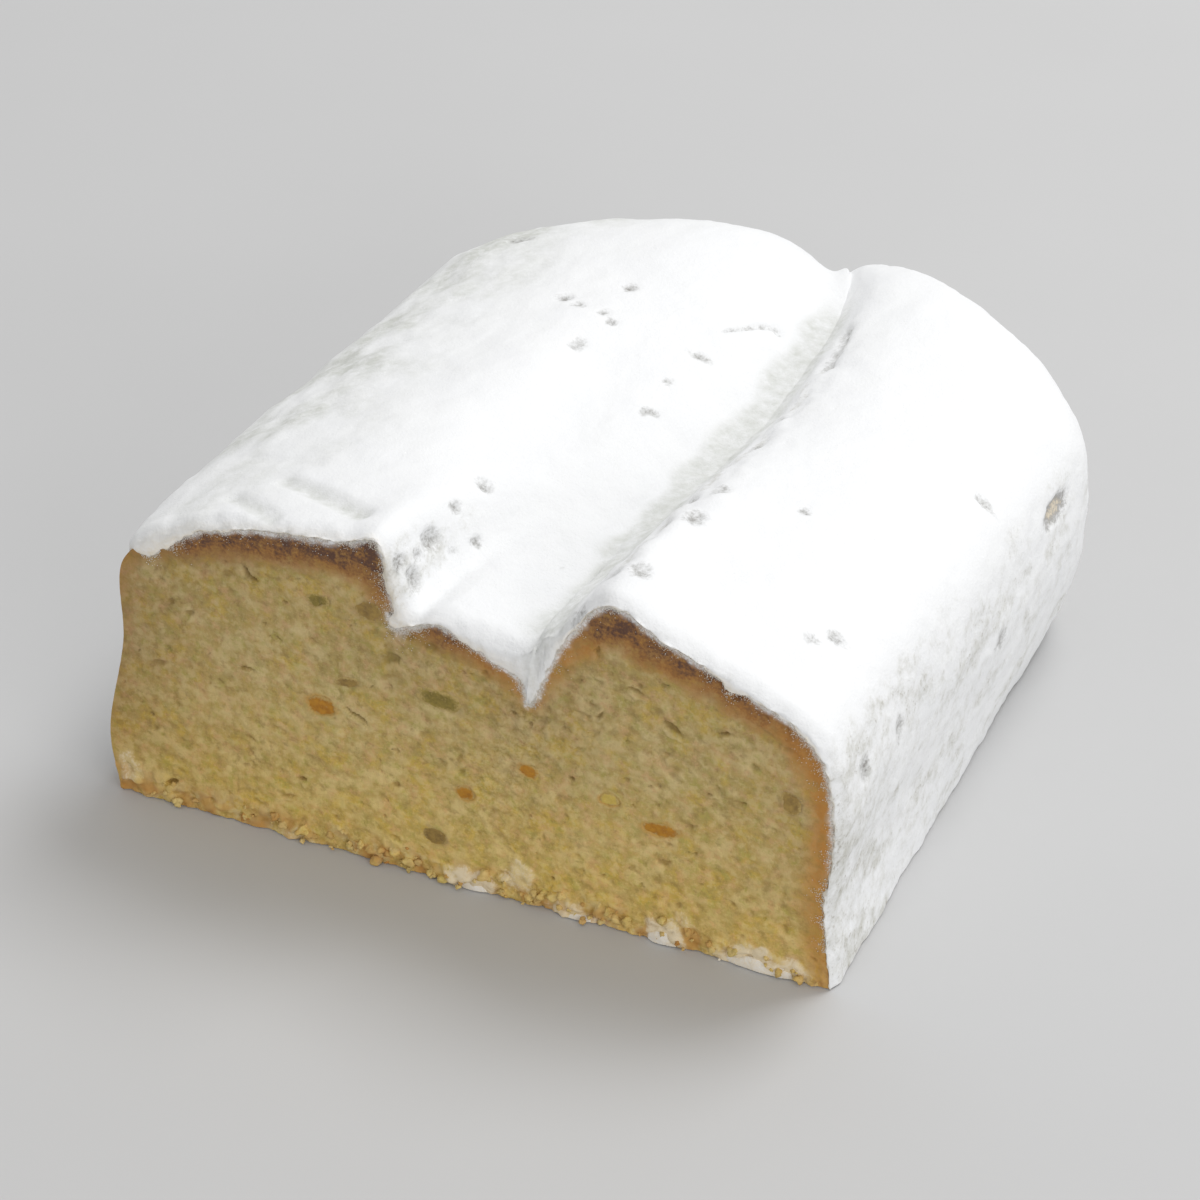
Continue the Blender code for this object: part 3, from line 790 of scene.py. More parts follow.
def fruit_place(node):
    """Middle, tilt in degrees and untilted width and height of a fruit, from its solid's box.

    A tilted ellipse of width w and height h has a box W by H with W^2 = w^2 c^2 + h^2 s^2 and
    H^2 = w^2 s^2 + h^2 c^2, where c and s are the cosine and sine of the tilt.
    """
    low, high = (to_mm(np.array(corner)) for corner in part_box(node))
    tilt = radians(TILTS.get(node, 0))
    c, s = cos(tilt) ** 2, sin(tilt) ** 2
    wide, _, tall = (high - low) ** 2
    width = ((wide * c - tall * s) / (c - s)) ** 0.5
    height = ((tall * c - wide * s) / (c - s)) ** 0.5
    return (low + high) / 2, TILTS.get(node, 0), (width, height)


amber, dusk = np.zeros_like(relief), np.zeros_like(relief)
near_fruit = bend(bend(face_points, 3.0, 0.6, seed=58), 1.1, 0.4, seed=59)
for node in FRUIT_NODES:
    middle, tilt, (width, height) = fruit_place(node)
    share = oval(near_fruit[..., 0], near_fruit[..., 2], middle[[0, 2]], width * 0.90,
                 height * 0.88, tilt)
    opened = smooth(share * 4)
    relief = relief * (1 - opened) - 0.9 * opened
    halo = smooth(share * 0.9 + 0.7)
    if slot_of[node] in ("orange_peel", "lemon_peel"):
        amber = np.maximum(amber, halo)
    else:
        dusk = np.maximum(dusk, halo * 0.8)
print("fruit in the face:", FRUIT_NODES)

# %% [markdown]
# ### Dust on the cut
# A haze of sugar lies along the top edge of the cut, and some fell down under the step. Smears
# of it, creamy with crumb, lie along the foot, where the slice stood in its own sugar.

# %% Dust: middle X, Z, half lengths and strength of the smears
DUSTED = [(1.2, 1.2, 6.0, 3.6, 1.0), (10.4, 5.4, 3.4, 4.2, 0.60), (36.2, 1.8, 4.2, 4.2, 1.0),
          (39.4, 6.0, 2.0, 2.0, 0.5), (53.4, 1.2, 9.4, 3.8, 1.0), (21.0, 0.8, 6.0, 2.6, 0.8),
          (-62.2, 5.8, 3.2, 3.6, 0.55), (-31.0, 0.6, 5.0, 1.8, 0.5)]
dust_reach = 1.7 + 1.1 * layered(face_points, 3.0, 2, seed=65)
dust = 0.8 * smooth(1.1 - face_depth / dust_reach) * smooth((face_points[..., 2] - 12.0) / 22.0)
dust = dust * smooth((face_points[..., 0] + 58.0) / 6.0)
fallen = oval(x, z, (-10.6, 50.4), 5.4, 9.0, 20)
dust = np.maximum(dust, 0.8 * smooth(fallen * 1.2 + 0.1))
smeared = bend(bent, 3.2, 1.6, seed=64)
for middle_x, middle_z, half_wide, half_high, most in DUSTED:
    spot = oval(smeared[..., 0], smeared[..., 2], (middle_x, middle_z), 2 * half_wide,
                2 * half_high, 0)
    dust = np.maximum(dust, most * smooth(spot * 1.6 + 0.25))
    relief = relief + smooth(spot * 1.6) * (0.35 + 0.25 * lumpy)
print("share of the face under dust:", (dust > 0.5).mean().round(3))

# %% [markdown]
# ## The loaf
# The skin under the sugar is hardly seen, so it has few rows, but they come close together
# behind the cut, where the rim of the crust shows. Face and skin share their border points.
# The base and the small nose are single flat faces, as they are flat on the real loaf too.

# %% Loaf mesh
FRONT_ROWS = np.array([0.0, 0.9, 1.8, 3.0, 5.0])
MIDDLE_ROWS, NOSE_ROWS = 14, 8
loaf_y = rows_along(LOAF_LENGTH, FRONT_ROWS, MIDDLE_ROWS, NOSE_ROWS)
crust = loft(loaf_y, loaf_at, LOAF_LENGTH)
rows, columns = crust.shape[:2]
skin_index = np.arange(rows * columns).reshape(rows, columns)
face_index = np.empty(face.shape[:2], int)
fresh = np.ones(face.shape[:2], bool)
fresh[:, [0, -1]] = False
fresh[-1, :] = False
face_index[fresh] = rows * columns + np.arange(fresh.sum())
face_index[:, 0] = skin_index[0, :WALL_COLUMNS]
face_index[:, -1] = skin_index[0, ::-1][:WALL_COLUMNS]
face_index[-1] = skin_index[0, WALL_COLUMNS - 1:WALL_COLUMNS - 1 + TOP_COLUMNS]

pushed = face_points.copy()
pushed[..., 1] = -relief
loaf_points = np.concatenate([crust.reshape(-1, 3), pushed[fresh]])
loaf_points[face_index.ravel()] = pushed.reshape(-1, 3)
base = face_index[0].tolist() + skin_index[1:, -1].tolist() + skin_index[:0:-1, 0].tolist()
loaf_faces = (grid_faces(skin_index) + grid_faces(face_index)
              + [skin_index[-1].tolist(), base[::-1]])


def loaf_note(on_face, on_skin=0.0):
    """One number per point of the loaf: the face's own, and a given one down each column."""
    values = np.zeros(len(loaf_points))
    values[:rows * columns] = np.broadcast_to(on_skin, (rows, columns)).ravel()
    values[face_index.ravel()] = on_face.ravel()
    return values


skin_baked = np.interp(loaf_at, np.arange(len(NAMES)), np.maximum(browning[1], 0.4))
skin_charred = np.interp(loaf_at, np.arange(len(NAMES)), browning[3])
make_piece(
    "stollen_loaf", loaf_points, loaf_faces, crumb_material, ("loaf",),
    {"baked": loaf_note(face_baked, skin_baked), "charred": loaf_note(face_charred, skin_charred),
     "relief": loaf_note(relief), "rough": loaf_note(face_rough), "dust": loaf_note(dust),
     "margin": loaf_note(face_margin), "amber": loaf_note(amber), "dusk": loaf_note(dusk),
     "height": loaf_points[:, 2]}, sharp=70)

# %% [markdown]
# ## The coat of sugar
# The coat is one closed shell. Its grid starts at the far end on the outside, runs forward to
# the cut, turns over the rim and runs back on the inside, just clear of the crust. Lumps, dents
# and thin places are pushes along the outside's own normals.

# %% Normals of a grid
def normals(skin):
    """Unit normals of a grid: the cross product of the steps round it and along it."""
    along = np.gradient(skin, axis=0)
    around = np.gradient(skin, axis=1)
    across = np.cross(around, along)
    return across / np.maximum(np.linalg.norm(across, axis=2, keepdims=True), 1e-9)


def near_mark(name, width, shift=0.0):
    """1 at a mark of the outline and falling off on both sides, for every column of the coat."""
    return np.exp(-((coat_at - mark_at(name) - shift) / width) ** 2)


# %% [markdown]
# ### Marks in the sugar
# Sugar falls off or is wiped away in places. Pits lie by the step and along the crest, a few
# more are strewn over the top and the walls, fingers dragged troughs over the left lobe, and a
# short crack runs over the shelf. On the right wall, on the left one and at the far end there
# is a bare spot. Each pit is an ellipsoid in space: its middle, its half lengths and its sink.
# The material greys the pits and the crack, darkest at their cores, as painted shade.

# %% Pits and bare spots: X, Y, Z, half lengths along X, Y and Z, sink in mm
PITS = [
    (-8.9, 4.0, 57.0, 1.4, 1.5, 2.0, 0.9), (-9.1, 10.9, 60.0, 1.9, 2.0, 1.8, 1.0),
    (-8.8, 18.9, 61.6, 1.0, 1.3, 1.2, 0.6), (-7.7, 27.8, 60.6, 1.4, 1.5, 1.3, 0.8),
    (-5.1, 19.4, 55.6, 1.0, 1.0, 1.0, 0.5), (-10.2, 6.8, 59.5, 1.2, 1.2, 1.2, 0.6),
    (-10.6, 2.0, 61.0, 1.4, 1.8, 1.4, 0.5), (21.6, 0.8, 60.0, 1.6, 1.6, 2.4, 0.4),
    (19.2, 1.0, 56.0, 1.2, 1.3, 1.6, 0.4), (-6.6, 14.0, 56.6, 0.8, 0.9, 0.9, 0.4),
    (9.8, 24.3, 50.4, 1.3, 2.4, 1.2, 0.8), (8.6, 21.5, 51.2, 0.8, 1.4, 1.0, 0.5),
    (27.8, 8.8, 65.6, 1.6, 2.0, 1.6, 0.8), (28.6, 28.8, 63.5, 1.6, 2.2, 1.6, 0.7),
    (28.3, 40.6, 61.5, 1.2, 1.8, 1.4, 0.6), (19.0, 71.1, 46.6, 1.0, 2.6, 1.6, 0.7),
    (-21.2, 89.6, 58.6, 1.2, 1.4, 1.5, 0.5), (-12.7, 87.5, 58.8, 0.9, 1.1, 1.5, 0.4),
    (-10.4, 85.6, 58.5, 1.0, 1.0, 1.5, 0.4), (-12.3, 75.2, 59.3, 1.0, 2.0, 1.5, 0.5),
    (-12.4, 98.1, 58.3, 1.0, 1.2, 1.5, 0.4), (-17.6, 88.0, 58.6, 1.2, 1.0, 1.5, 0.3),
    (4.4, 65.7, 55.5, 0.8, 1.2, 1.5, 0.4), (5.8, 66.7, 55.1, 0.8, 1.0, 1.5, 0.4),
    (4.0, 76.1, 55.6, 0.8, 0.9, 1.5, 0.4), (5.8, 86.6, 55.1, 2.0, 0.9, 1.5, 0.5),
    (41.7, 44.3, 58.5, 0.8, 0.8, 1.0, 0.4), (-40.5, 112.6, 53.5, 2.4, 1.8, 2.0, 0.5),
    (56.3, 20.3, 53.2, 1.8, 1.2, 1.2, 0.3), (53.4, 17.0, 54.4, 1.2, 1.0, 1.2, 0.3),
    (65.8, 9.8, 37.9, 1.5, 1.5, 2.2, 0.5), (66.3, 24.4, 35.7, 1.5, 1.4, 2.4, 0.4),
    (69.3, 66.3, 26.4, 1.5, 2.0, 2.0, 0.4), (63.1, 72.9, 48.0, 1.6, 1.0, 3.6, 0.5),
    (-61.0, 34.0, 38.0, 1.6, 1.8, 2.2, 0.5), (-60.0, 92.0, 24.0, 1.8, 1.8, 2.8, 0.5),
    (-24.0, 138.0, 36.0, 2.0, 2.4, 2.2, 0.5), (46.0, 138.0, 24.0, 2.0, 2.4, 2.6, 0.5),
]
BARE_SPOTS = [(69.8, 92.3, 36.8, 2.6, 5.6, 2.2, 0.8), (-60.5, 60.0, 30.0, 2.4, 2.6, 3.0, 0.8),
              (24.0, 145.0, 24.0, 3.0, 3.0, 2.6, 0.8)]
TROUGHS = [  # start and end of each, half width and depth in mm
    ((-36.2, 13.2, 63.6), (-19.2, 6.4, 65.0), 1.9, 1.0),
    ((-43.6, 7.6, 61.8), (-33.0, 2.0, 63.9), 1.6, 0.8),
    ((-47.0, 21.0, 58.0), (-33.0, 18.0, 61.5), 2.2, 0.6),
]
CRACK = [  # X and Y of its bends
    (6.0, 96.0), (8.4, 99.0), (10.6, 102.4), (12.6, 104.6), (14.0, 104.2),
]
print(len(PITS), "pits,", len(BARE_SPOTS), "bare spots and", len(TROUGHS), "troughs")


def closeness(points, spots, reach):
    """1 at a spot's middle and 0 from reach times its half lengths on, and its sink in mm."""
    near, sink = np.zeros(points.shape[:-1]), np.zeros(points.shape[:-1])
    for spot in spots:
        away = np.linalg.norm((points - spot[:3]) / spot[3:6], axis=-1)
        near = np.maximum(near, smooth((reach - away) / reach))
        sink = np.maximum(sink, spot[6] * smooth(1.4 - away))
    return near, sink


def trough_depth(points):
    """Depth in mm of the dragged troughs, with a low bank thrown up beside each."""
    depth = np.zeros(points.shape[:-1])
    for start, end, width, sink in TROUGHS:
        start, way = np.array(start), np.subtract(end, start)
        share = np.clip(((points - start) @ way) / (way @ way), 0.0, 1.0)
        away = np.linalg.norm(points - start - share[..., None] * way, axis=-1) / width
        depth += sink * (np.exp(-(away**2)) - 0.35 * np.exp(-((away - 2.0) ** 2) * 2.0))
    return depth


# %% [markdown]
# ### The outside of the coat
# The outside is lofted like the loaf, with the sugar's own offsets. Its rows come close
# together behind the cut, where the edge is ragged. The pits, troughs and the crack sink into
# it, and the same arrays later darken the sugar there.

# %% Outside, with pits, troughs and crack
COAT_COLUMNS, COAT_ROWS, COAT_END_ROWS, COAT_SWEEP = 400, 138, 62, radians(87)
COAT_FRONT = np.array([0.0, 0.3, 0.65, 1.1, 1.6, 2.2, 2.9, 3.6])
coat_at = evenly(0.0, len(NAMES) - 1, COAT_COLUMNS)
coat_y = rows_along(SUGAR_LENGTH, COAT_FRONT, COAT_ROWS, COAT_END_ROWS, COAT_SWEEP)
outside = loft(coat_y, coat_at, SUGAR_LENGTH, sugared=1.0)
crust_below = loft(np.minimum(coat_y, LOAF_LENGTH - 0.12), coat_at, LOAF_LENGTH)
out = normals(outside)
steep = smooth((0.72 - out[..., 2]) / 0.6)
along_y = outside[..., 1]

ragged = outside + 0.5 * np.stack([noise(outside, 1.7, seed) for seed in (71, 72, 73)], axis=-1)
pit, sink = closeness(ragged, PITS, 2.2)
bare, bare_sink = closeness(ragged, BARE_SPOTS, 1.7)
trough = trough_depth(outside) * (outside[..., 2] > 40)
sink = np.maximum(sink, bare_sink) + trough
crack_y = np.interp(outside[..., 0], *np.array(CRACK).T)
crack = np.exp(-((along_y - crack_y) / 0.9) ** 2) * (outside[..., 2] > 45)
crack = crack * smooth((outside[..., 0] - 5.4) / 1.2) * smooth((14.6 - outside[..., 0]) / 1.2)
sink = np.maximum(sink, 0.7 * crack)
# Painted shade: the crack is greyed through the pit note.
pit = np.maximum(pit, 0.75 * crack)

print("deepest mark in the sugar:", sink.max().round(2), "mm")

# %% [markdown]
# ### In the crease
# The slope of the crease that faces right is veiled grey, partly as thin sugar and partly as
# painted shade, and under the crest runs a row of small hollows, sunk into the sugar and
# darkened as painted shadow. Both follow the crease, so their noise is read along Y alone.

# %% Hollows and veil
only_y = outside * [0.0, 1.0, 0.0]
hollow_at = mark_at("crest") - 0.36 + 0.30 * noise(only_y + [1.0, 0.0, 8.0], 9.0, seed=81)
hollow = np.exp(-((coat_at - hollow_at) / 0.17) ** 2)
beat = smooth((layered(only_y + [3.0, 0.0, 5.0], 6.5, 2, seed=83) + 0.02) / 0.5)
in_crease = smooth((along_y - 3.0) / 4.0) * smooth((116.0 - along_y) / 10.0)
hollows = hollow * beat * in_crease
sink = np.maximum(sink, hollows)
# Painted shadow: the pit note greys the hollows under the crest.
pit = np.maximum(pit, 0.62 * smooth(hollows * 1.3))
shore = 0.35 * noise(only_y + [5.0, 0.0, 2.0], 8.0, seed=85)
# Painted shade, partly thin sugar: the grey veil on the slope of the crease that faces right.
veil_and_shade = smooth((coat_at - mark_at("slope") + 0.25 + shore) / 0.55)
veil_and_shade = veil_and_shade * smooth((mark_at("crease wall") + 0.5 - coat_at) / 0.5)
veil_and_shade = 0.62 * veil_and_shade * smooth((along_y + 4.0) / 6.0) * smooth((126.0 - along_y) / 14.0)
veil_and_shade = np.maximum(veil_and_shade, 0.75 * np.clip(trough, 0.0, 1.0))

print("share of the coat under the veil:", (veil_and_shade > 0.3).mean().round(3))

# %% [markdown]
# ### Thin places
# On top the powder lies soft and deep. On the walls it is thin and worn in patches, most near
# the cut. The brow of the left lobe is veiled grey softly, partly as painted shade, and the
# coat is painted thin over the bare spots, and in the hollows and pits as painted shade.

# %% Thin sugar
worn = smooth((layered(outside, (7.0, 11.0, 7.0), 3, seed=107) + 0.05) / 0.6)
flank = near_mark("left brow", 1.0, -0.1) * (0.45 + 0.55 * smooth((along_y - 14.0) / 16.0))
in_walls = steep * (1.0 - np.clip(veil_and_shade * 2.0, 0.0, 1.0))
thin_and_shade = in_walls * (0.22 + 0.30 * worn + 0.34 * np.exp(-along_y / 26.0))
soft = smooth(0.5 + 0.8 * layered(outside, (9.0, 13.0, 9.0), 2, seed=108))
# Painted shade, partly thin sugar: the brow of the left lobe is veiled grey.
veil_and_shade = np.maximum(veil_and_shade, flank * (0.16 + 0.80 * soft))
# Painted shade: the hollows and pits are also greyed through the thin note; over the bare spots it
# is real.
thin_and_shade = np.maximum(thin_and_shade, 0.45 * hollow * in_crease)
thin_and_shade = np.maximum(thin_and_shade, 0.5 * bare + 0.4 * pit)
thin_and_shade = np.maximum(thin_and_shade, 0.20 * smooth(1.0 - along_y / 2.6))
cream = 0.12 * smooth(1.0 - along_y / 1.4) * smooth((4.0 - outside[..., 0]) / 14.0)

print("mean thinness on the walls:", thin_and_shade[steep > 0.5].mean().round(2))

# %% [markdown]
# ### Lumps and the edge at the cut
# Long swells, shorter lumps and fine powder are added along the normals. Towards the cut the
# coat rounds over as a parabola does, 1 - (1 - y / rounding)^2, and thins to a feather edge,
# except in the crease and under the step, where it is packed.

# %% The coat's own skin
lumps = 0.34 * layered(outside, 14.0, 2, seed=89) + 0.16 * layered(outside, 5.0, 2, seed=97)
by_crease = near_mark("crest", 0.45, -0.15) * in_crease
lumps = lumps + (0.75 * by_crease + 0.30 * flank) * layered(outside, (5.0, 7.0, 5.0), 3, seed=99)
powder = (0.075 + 0.13 * smooth(1.0 - along_y / 4.0)) * layered(outside, 1.7, 2, seed=101)
streaks = 0.10 * noise(outside, (5.0, 3.2, 9.0), seed=103) * steep
powder = powder + 0.07 * steep * layered(outside, 2.2, 2, seed=105)

rounding = 2.9 + 1.1 * noise(outside * [1.0, 0.0, 1.0], 5.0, seed=109)
plug = np.clip(near_mark("slope", 0.75, 0.40) + near_mark("crease wall", 0.5, -0.4), 0.0, 1.0)
packed = np.maximum(plug, near_mark("step foot", 0.5, -0.2))
rounding = rounding + 0.6 * packed
edge = 1.0 - (1.0 - np.clip(along_y / rounding, 0.0, 1.0)) ** 2
least = 0.16 + 0.30 * packed + 0.50 * plug
shown = least + (1.0 - least) * edge
at_nose = smooth((SUGAR_LENGTH + 0.1 - along_y) / 1.2)
push = ((lumps + streaks - sink) * (0.2 + 0.8 * edge) + powder) * at_nose
coat = crust_below + (outside - crust_below) * shown[..., None] + out * push[..., None]
THINNEST = 0.28
over_crust = ((coat - crust_below) * out).sum(axis=-1)
coat = coat + out * np.maximum(THINNEST - over_crust, 0.0)[..., None]
print("thinnest sugar:", ((coat - crust_below) * out).sum(axis=-1).min().round(2), "mm")

# %% [markdown]
# ### Over the rim and back
# The rim joins outside and inside at the cut. It laps a little over the crust's edge, most at
# the step, where powder fell down the face, and at the left shoulder, where a lump hangs over.
# In the crease it closes the gap with a plug that the knife pressed flat. On the left wall the
# coat stops short of the cut, as sugar there was knocked off.

# %% The inside and its lap
INSIDE_Y = np.array([0.0, 0.7, 1.8])
INSIDE_ROWS, INSIDE_END_ROWS = 12, 18
INSIDE_FRONT = np.concatenate([INSIDE_Y, [3.2, 5.0]])
inside_y = rows_along(LOAF_LENGTH, INSIDE_FRONT, INSIDE_ROWS, INSIDE_END_ROWS)
inside = loft(inside_y, coat_at, LOAF_LENGTH)
inner_out = normals(inside)
front_line = inside[0]
tip = near_mark("crease", 0.30, -0.05)
lap = 0.5 * noise(front_line, 5.5, seed=113) + 0.65 * layered(front_line, 2.0, 2, seed=117)
lap = (lap * (1 - tip) + 0.8 * near_mark("step lip", 0.30, 0.40)
       + 2.3 * near_mark("step foot", 0.14, -0.02) + 0.6 * near_mark("slope", 0.25, -0.60)
       + 0.3 * near_mark("crease", 0.06, -0.05) + 2.2 * near_mark("left shoulder", 0.40, 0.58)
       + 1.3 * near_mark("right brow", 0.16, -0.18) + 0.4 * near_mark("right shoulder", 0.4))
lap = np.clip(lap, -0.20, None)
clearance = np.full(inside.shape[:2], 0.12)
clearance[:len(INSIDE_Y)] = [[0.0], [-0.5], [-0.3]]
clearance[0] = -lap
inside = inside + inner_out * clearance[..., None]

set_back = 3.4 * smooth((mark_at("left shoulder") + 0.35 - coat_at) / 0.5)
set_back = set_back * (1.0 + 0.35 * noise(front_line, 5.0, seed=119))
feather = -0.16 + 0.16 * noise(front_line, 2.6, seed=121)
fade = smooth(1 - coat_y / 9.0)[:, None]
coat[:, :, 1] += (feather * (1 - packed) * smooth(1 - coat_y / 3.0)[:, None]) + set_back * fade
inside[:, :, 1] += set_back * smooth(1 - inside_y / 9.0)[:, None]
inside[0, :, 1] -= 0.10 + 0.10 * near_mark("step foot", 0.5)
print("the coat laps over by up to", lap.max().round(2), "mm")

# %% [markdown]
# ### The rim and the closed shell
# Between the front row of the outside and that of the inside the rim swells forward as half a
# sine wave, roughened by noise. Then the three grids are stacked into one sheet. A ladder of
# quads closes its far end outside and one face closes it inside. The foot is one face in the
# shape of a horseshoe.

# %% The closed coat
RIM_ROWS = 8
t = np.linspace(0.0, 1.0, RIM_ROWS + 2)[1:-1, None, None]
rim = coat[0] * (1 - t) + inside[0] * t
swell = 0.05 + 0.22 * packed + 0.30 * near_mark("left shoulder", 0.24, 0.50)
arch = np.sin(pi * t[..., 0])
rim[..., 1] -= arch * (swell + 0.30 * layered(rim, 1.7, 2, seed=127))
rim += out[0] * (arch * 0.22 * layered(rim + 7.0, 1.5, 2, seed=129))[..., None]
sheet = np.concatenate([coat[::-1], rim, inside])
foot_height = 0.10 + 0.08 * noise(sheet[:, 0] * [0.0, 1.0, 0.0], 4.0, seed=131)
sheet[:, [0, -1], 2] = foot_height[:, None]

sheet_index = np.arange(sheet.shape[0] * COAT_COLUMNS).reshape(sheet.shape[:2])
ladder = np.stack([sheet_index[0, :COAT_COLUMNS // 2], sheet_index[0, ::-1][:COAT_COLUMNS // 2]])
underside = sheet_index[:, -1].tolist() + sheet_index[::-1, 0].tolist()
coat_faces = (grid_faces(sheet_index[::-1]) + grid_faces(ladder.T[:, ::-1])
              + [sheet_index[-1, ::-1].tolist(), underside])


def coat_note(values, rim_end=None):
    """One number per point of the coat: the outside's own, and the front row's on the rim.

    Where rim_end is given, the rim slides from the front row's numbers to those.
    """
    last = values[0] if rim_end is None else rim_end
    rim_values = values[0] * (1 - t[..., 0]) + last * t[..., 0]
    return np.concatenate([values[::-1], rim_values, np.broadcast_to(last, inside.shape[:2])])


# At the rim the veil note, painted shade, slides to a little grey on the plug in the crease.
make_piece(
    "stollen_sugar", sheet.reshape(-1, 3), coat_faces, sugar_material,
    ("sugar_coat",), {"thin_and_shade": coat_note(thin_and_shade), "veil_and_shade": coat_note(veil_and_shade, 0.12 * plug),
                      "pit": coat_note(pit), "bare": coat_note(bare),
                      "cream": coat_note(cream, 0.5 - 0.48 * plug)}, sharp=80)

# %% [markdown]
# ## Pieces of fruit
# A piece of peel in a cut is a squarish lump that the knife has sliced. Its front is nearly
# flat with a soft edge and a few dents, and lies just under the crumb, whose ragged edge laps
# over it. The grid runs from the middle of the front out to the rim and round the back to a
# point.

# %% Fruit
RINGS, ROUND_THE_RIM = 26, 64
SQUARENESS, UNDER_THE_CRUMB = 2.6, 1.12
FRUIT_FRONT, FRUIT_DEEP = 0.34, 1.8  # mm behind the cut, and from there back to the tip


def fruit_grid(size, tilt, seed):
    """Grid of a lump: rings from the front's middle, over the rim, to the back's tip.

    Each ring has a radius share and a depth. The outline is a superellipse whose exponent is
    SQUARENESS, a little wider than what shows, because crumb laps over the rim.
    """
    around = np.linspace(0.0, 2 * pi, ROUND_THE_RIM + 1)[:-1]
    power = 2 / SQUARENESS
    side = np.sign(np.cos(around)) * np.abs(np.cos(around)) ** power
    rise = np.sign(np.sin(around)) * np.abs(np.sin(around)) ** power
    turn = np.linspace(0.0, pi, RINGS)[:, None]
    in_front = turn < pi / 2
    radius = np.maximum(np.sin(turn) ** 0.8, 0.02)
    depth = np.where(in_front, -0.3 * (1 - np.sin(turn) ** 8), FRUIT_DEEP * -np.cos(turn))
    x = radius * side * size[0] / 2 * UNDER_THE_CRUMB
    z = radius * rise * size[1] / 2 * UNDER_THE_CRUMB
    y = depth * np.ones_like(side)
    turned = np.stack([x * cos(tilt) - z * sin(tilt), y, x * sin(tilt) + z * cos(tilt)], axis=-1)
    turned[..., [0, 2]] *= 1.0 + 0.12 * noise(turned + seed * 9.0, 1.8, seed)[..., None]
    turned[..., 1] += 0.12 * layered(turned + seed * 5.0, 1.2, 2, seed + 3)
    return turned, np.where(in_front, radius, 1.5)[:, 0]


for number, node in enumerate(FRUIT_NODES):
    middle, tilt, size = fruit_place(node)
    lump, ring = fruit_grid(size, radians(tilt), number + 1)
    lump = lump + [middle[0], FRUIT_FRONT, middle[2]]
    count = lump.shape[1]
    index = np.arange(lump.shape[0] * count).reshape(lump.shape[:2])
    closed = np.column_stack([index, index[:, 0]])
    faces = grid_faces(closed[:, ::-1]) + [index[0].tolist(), index[-1, ::-1].tolist()]
    rim_note = np.repeat(smooth((ring - 0.45) / 0.5)[:, None], count, axis=1)
    kind = slot_of[node]
    make_piece(f"cut_{node}", lump.reshape(-1, 3), faces, fruit_materials[kind], (node,),
               {"rim": rim_note})

# %% [markdown]
# ## Loose bits
# Fine grains of sugar blur the edge between coat and crust, and heaps and clumps of sugar and
# crumbs of bread lie along the foot of the cut. A particle system would do it, but a mesh
# keeps its true shape everywhere. Each kind is one mesh: a unit ball from latitude and
# longitude, copied to every place at once, squashed, turned and dented by noise.

# %% Many small lumps in one mesh
def ball(rings, segments):
    """Directions over a sphere and its faces: two poles and rings of evenly turned points."""
    down = np.linspace(0.0, pi, rings + 2)[1:-1, None]
    around = np.linspace(0.0, 2 * pi, segments + 1)[None, :-1]
    body = np.stack([np.sin(down) * np.cos(around), np.sin(down) * np.sin(around),
                     np.cos(down) * np.ones_like(around)], axis=-1).reshape(-1, 3)
    points = np.concatenate([[[0.0, 0.0, 1.0]], body, [[0.0, 0.0, -1.0]]])
    index = 1 + np.arange(rings * segments).reshape(rings, segments)
    closed = np.column_stack([index, index[:, 0]])
    caps = [[0, a, b] for a, b in zip(closed[0, :-1].tolist(), closed[0, 1:].tolist())]
    caps += [[len(points) - 1, b, a]
             for a, b in zip(closed[-1, :-1].tolist(), closed[-1, 1:].tolist())]
    return points, grid_faces(closed[:, ::-1]) + caps


def scatter(name, places, sizes, material, seed, rings=3, segments=7, dent=0.35,
            notes=None, turned=True):
    """One mesh of lumps: a ball at each place with half lengths sizes.

    Each is turned about Z at random, unless turned is False, and none reaches below the floor.
    """
    points, ball_faces = ball(rings, segments)
    angle = np.random.default_rng(seed).uniform(0, 2 * pi, len(places)) * turned
    turn = np.stack([np.cos(angle), -np.sin(angle), np.sin(angle), np.cos(angle)], axis=-1)
    lumps = points[None] * sizes[:, None]
    lumps[..., :2] = np.einsum("nij,nkj->nki", turn.reshape(-1, 2, 2), lumps[..., :2])
    scale = sizes.mean(axis=1)[:, None, None]
    where = places[:, None] * 3.0 + lumps / scale * 0.9
    lumps = lumps * (1.0 + dent * layered(where, 1.0, 2, seed)[..., None]) + places[:, None]
    lumps[..., 2] = np.maximum(lumps[..., 2], 0.02)
    count = len(points)
    faces = [[corner + shift * count for corner in face]
             for shift in range(len(places)) for face in ball_faces]
    notes = {key: np.repeat(values, count) for key, values in (notes or {}).items()}
    return make_piece(name, lumps.reshape(-1, 3), faces, material, notes=notes)


# %% [markdown]
# Loose bits have to sit on the uneven face, not inside it. Searching the mesh below each one
# would be slow, so a coarse table holds the highest relief in each half-millimetre square.

# %% How far the face stands out under a bit
SQUARE = 0.5
table_low = face_points.reshape(-1, 3).min(axis=0) - SQUARE


def square_of(x, z):
    """Row and column in the table of the square that holds (x, z)."""
    return (((x - table_low[0]) / SQUARE).astype(int), ((z - table_low[2]) / SQUARE).astype(int))


highest = np.full([size + 2 for size in square_of(*face_points.reshape(-1, 3).max(axis=0)[[0, 2]])],
                  -0.5)
np.maximum.at(highest, square_of(face_points[..., 0], face_points[..., 2]), relief)


def relief_at(x, z):
    """The table's number for each place, with places off the face taken to its edge."""
    row, column = square_of(x, z)
    return highest[np.clip(row, 0, highest.shape[0] - 1), np.clip(column, 0, highest.shape[1] - 1)]


print("table of the relief:", highest.shape)

# %% [markdown]
# ### Grains at the edge
# Grains lie thickest at the coat's edge and fewer with every half millimetre down the crust.

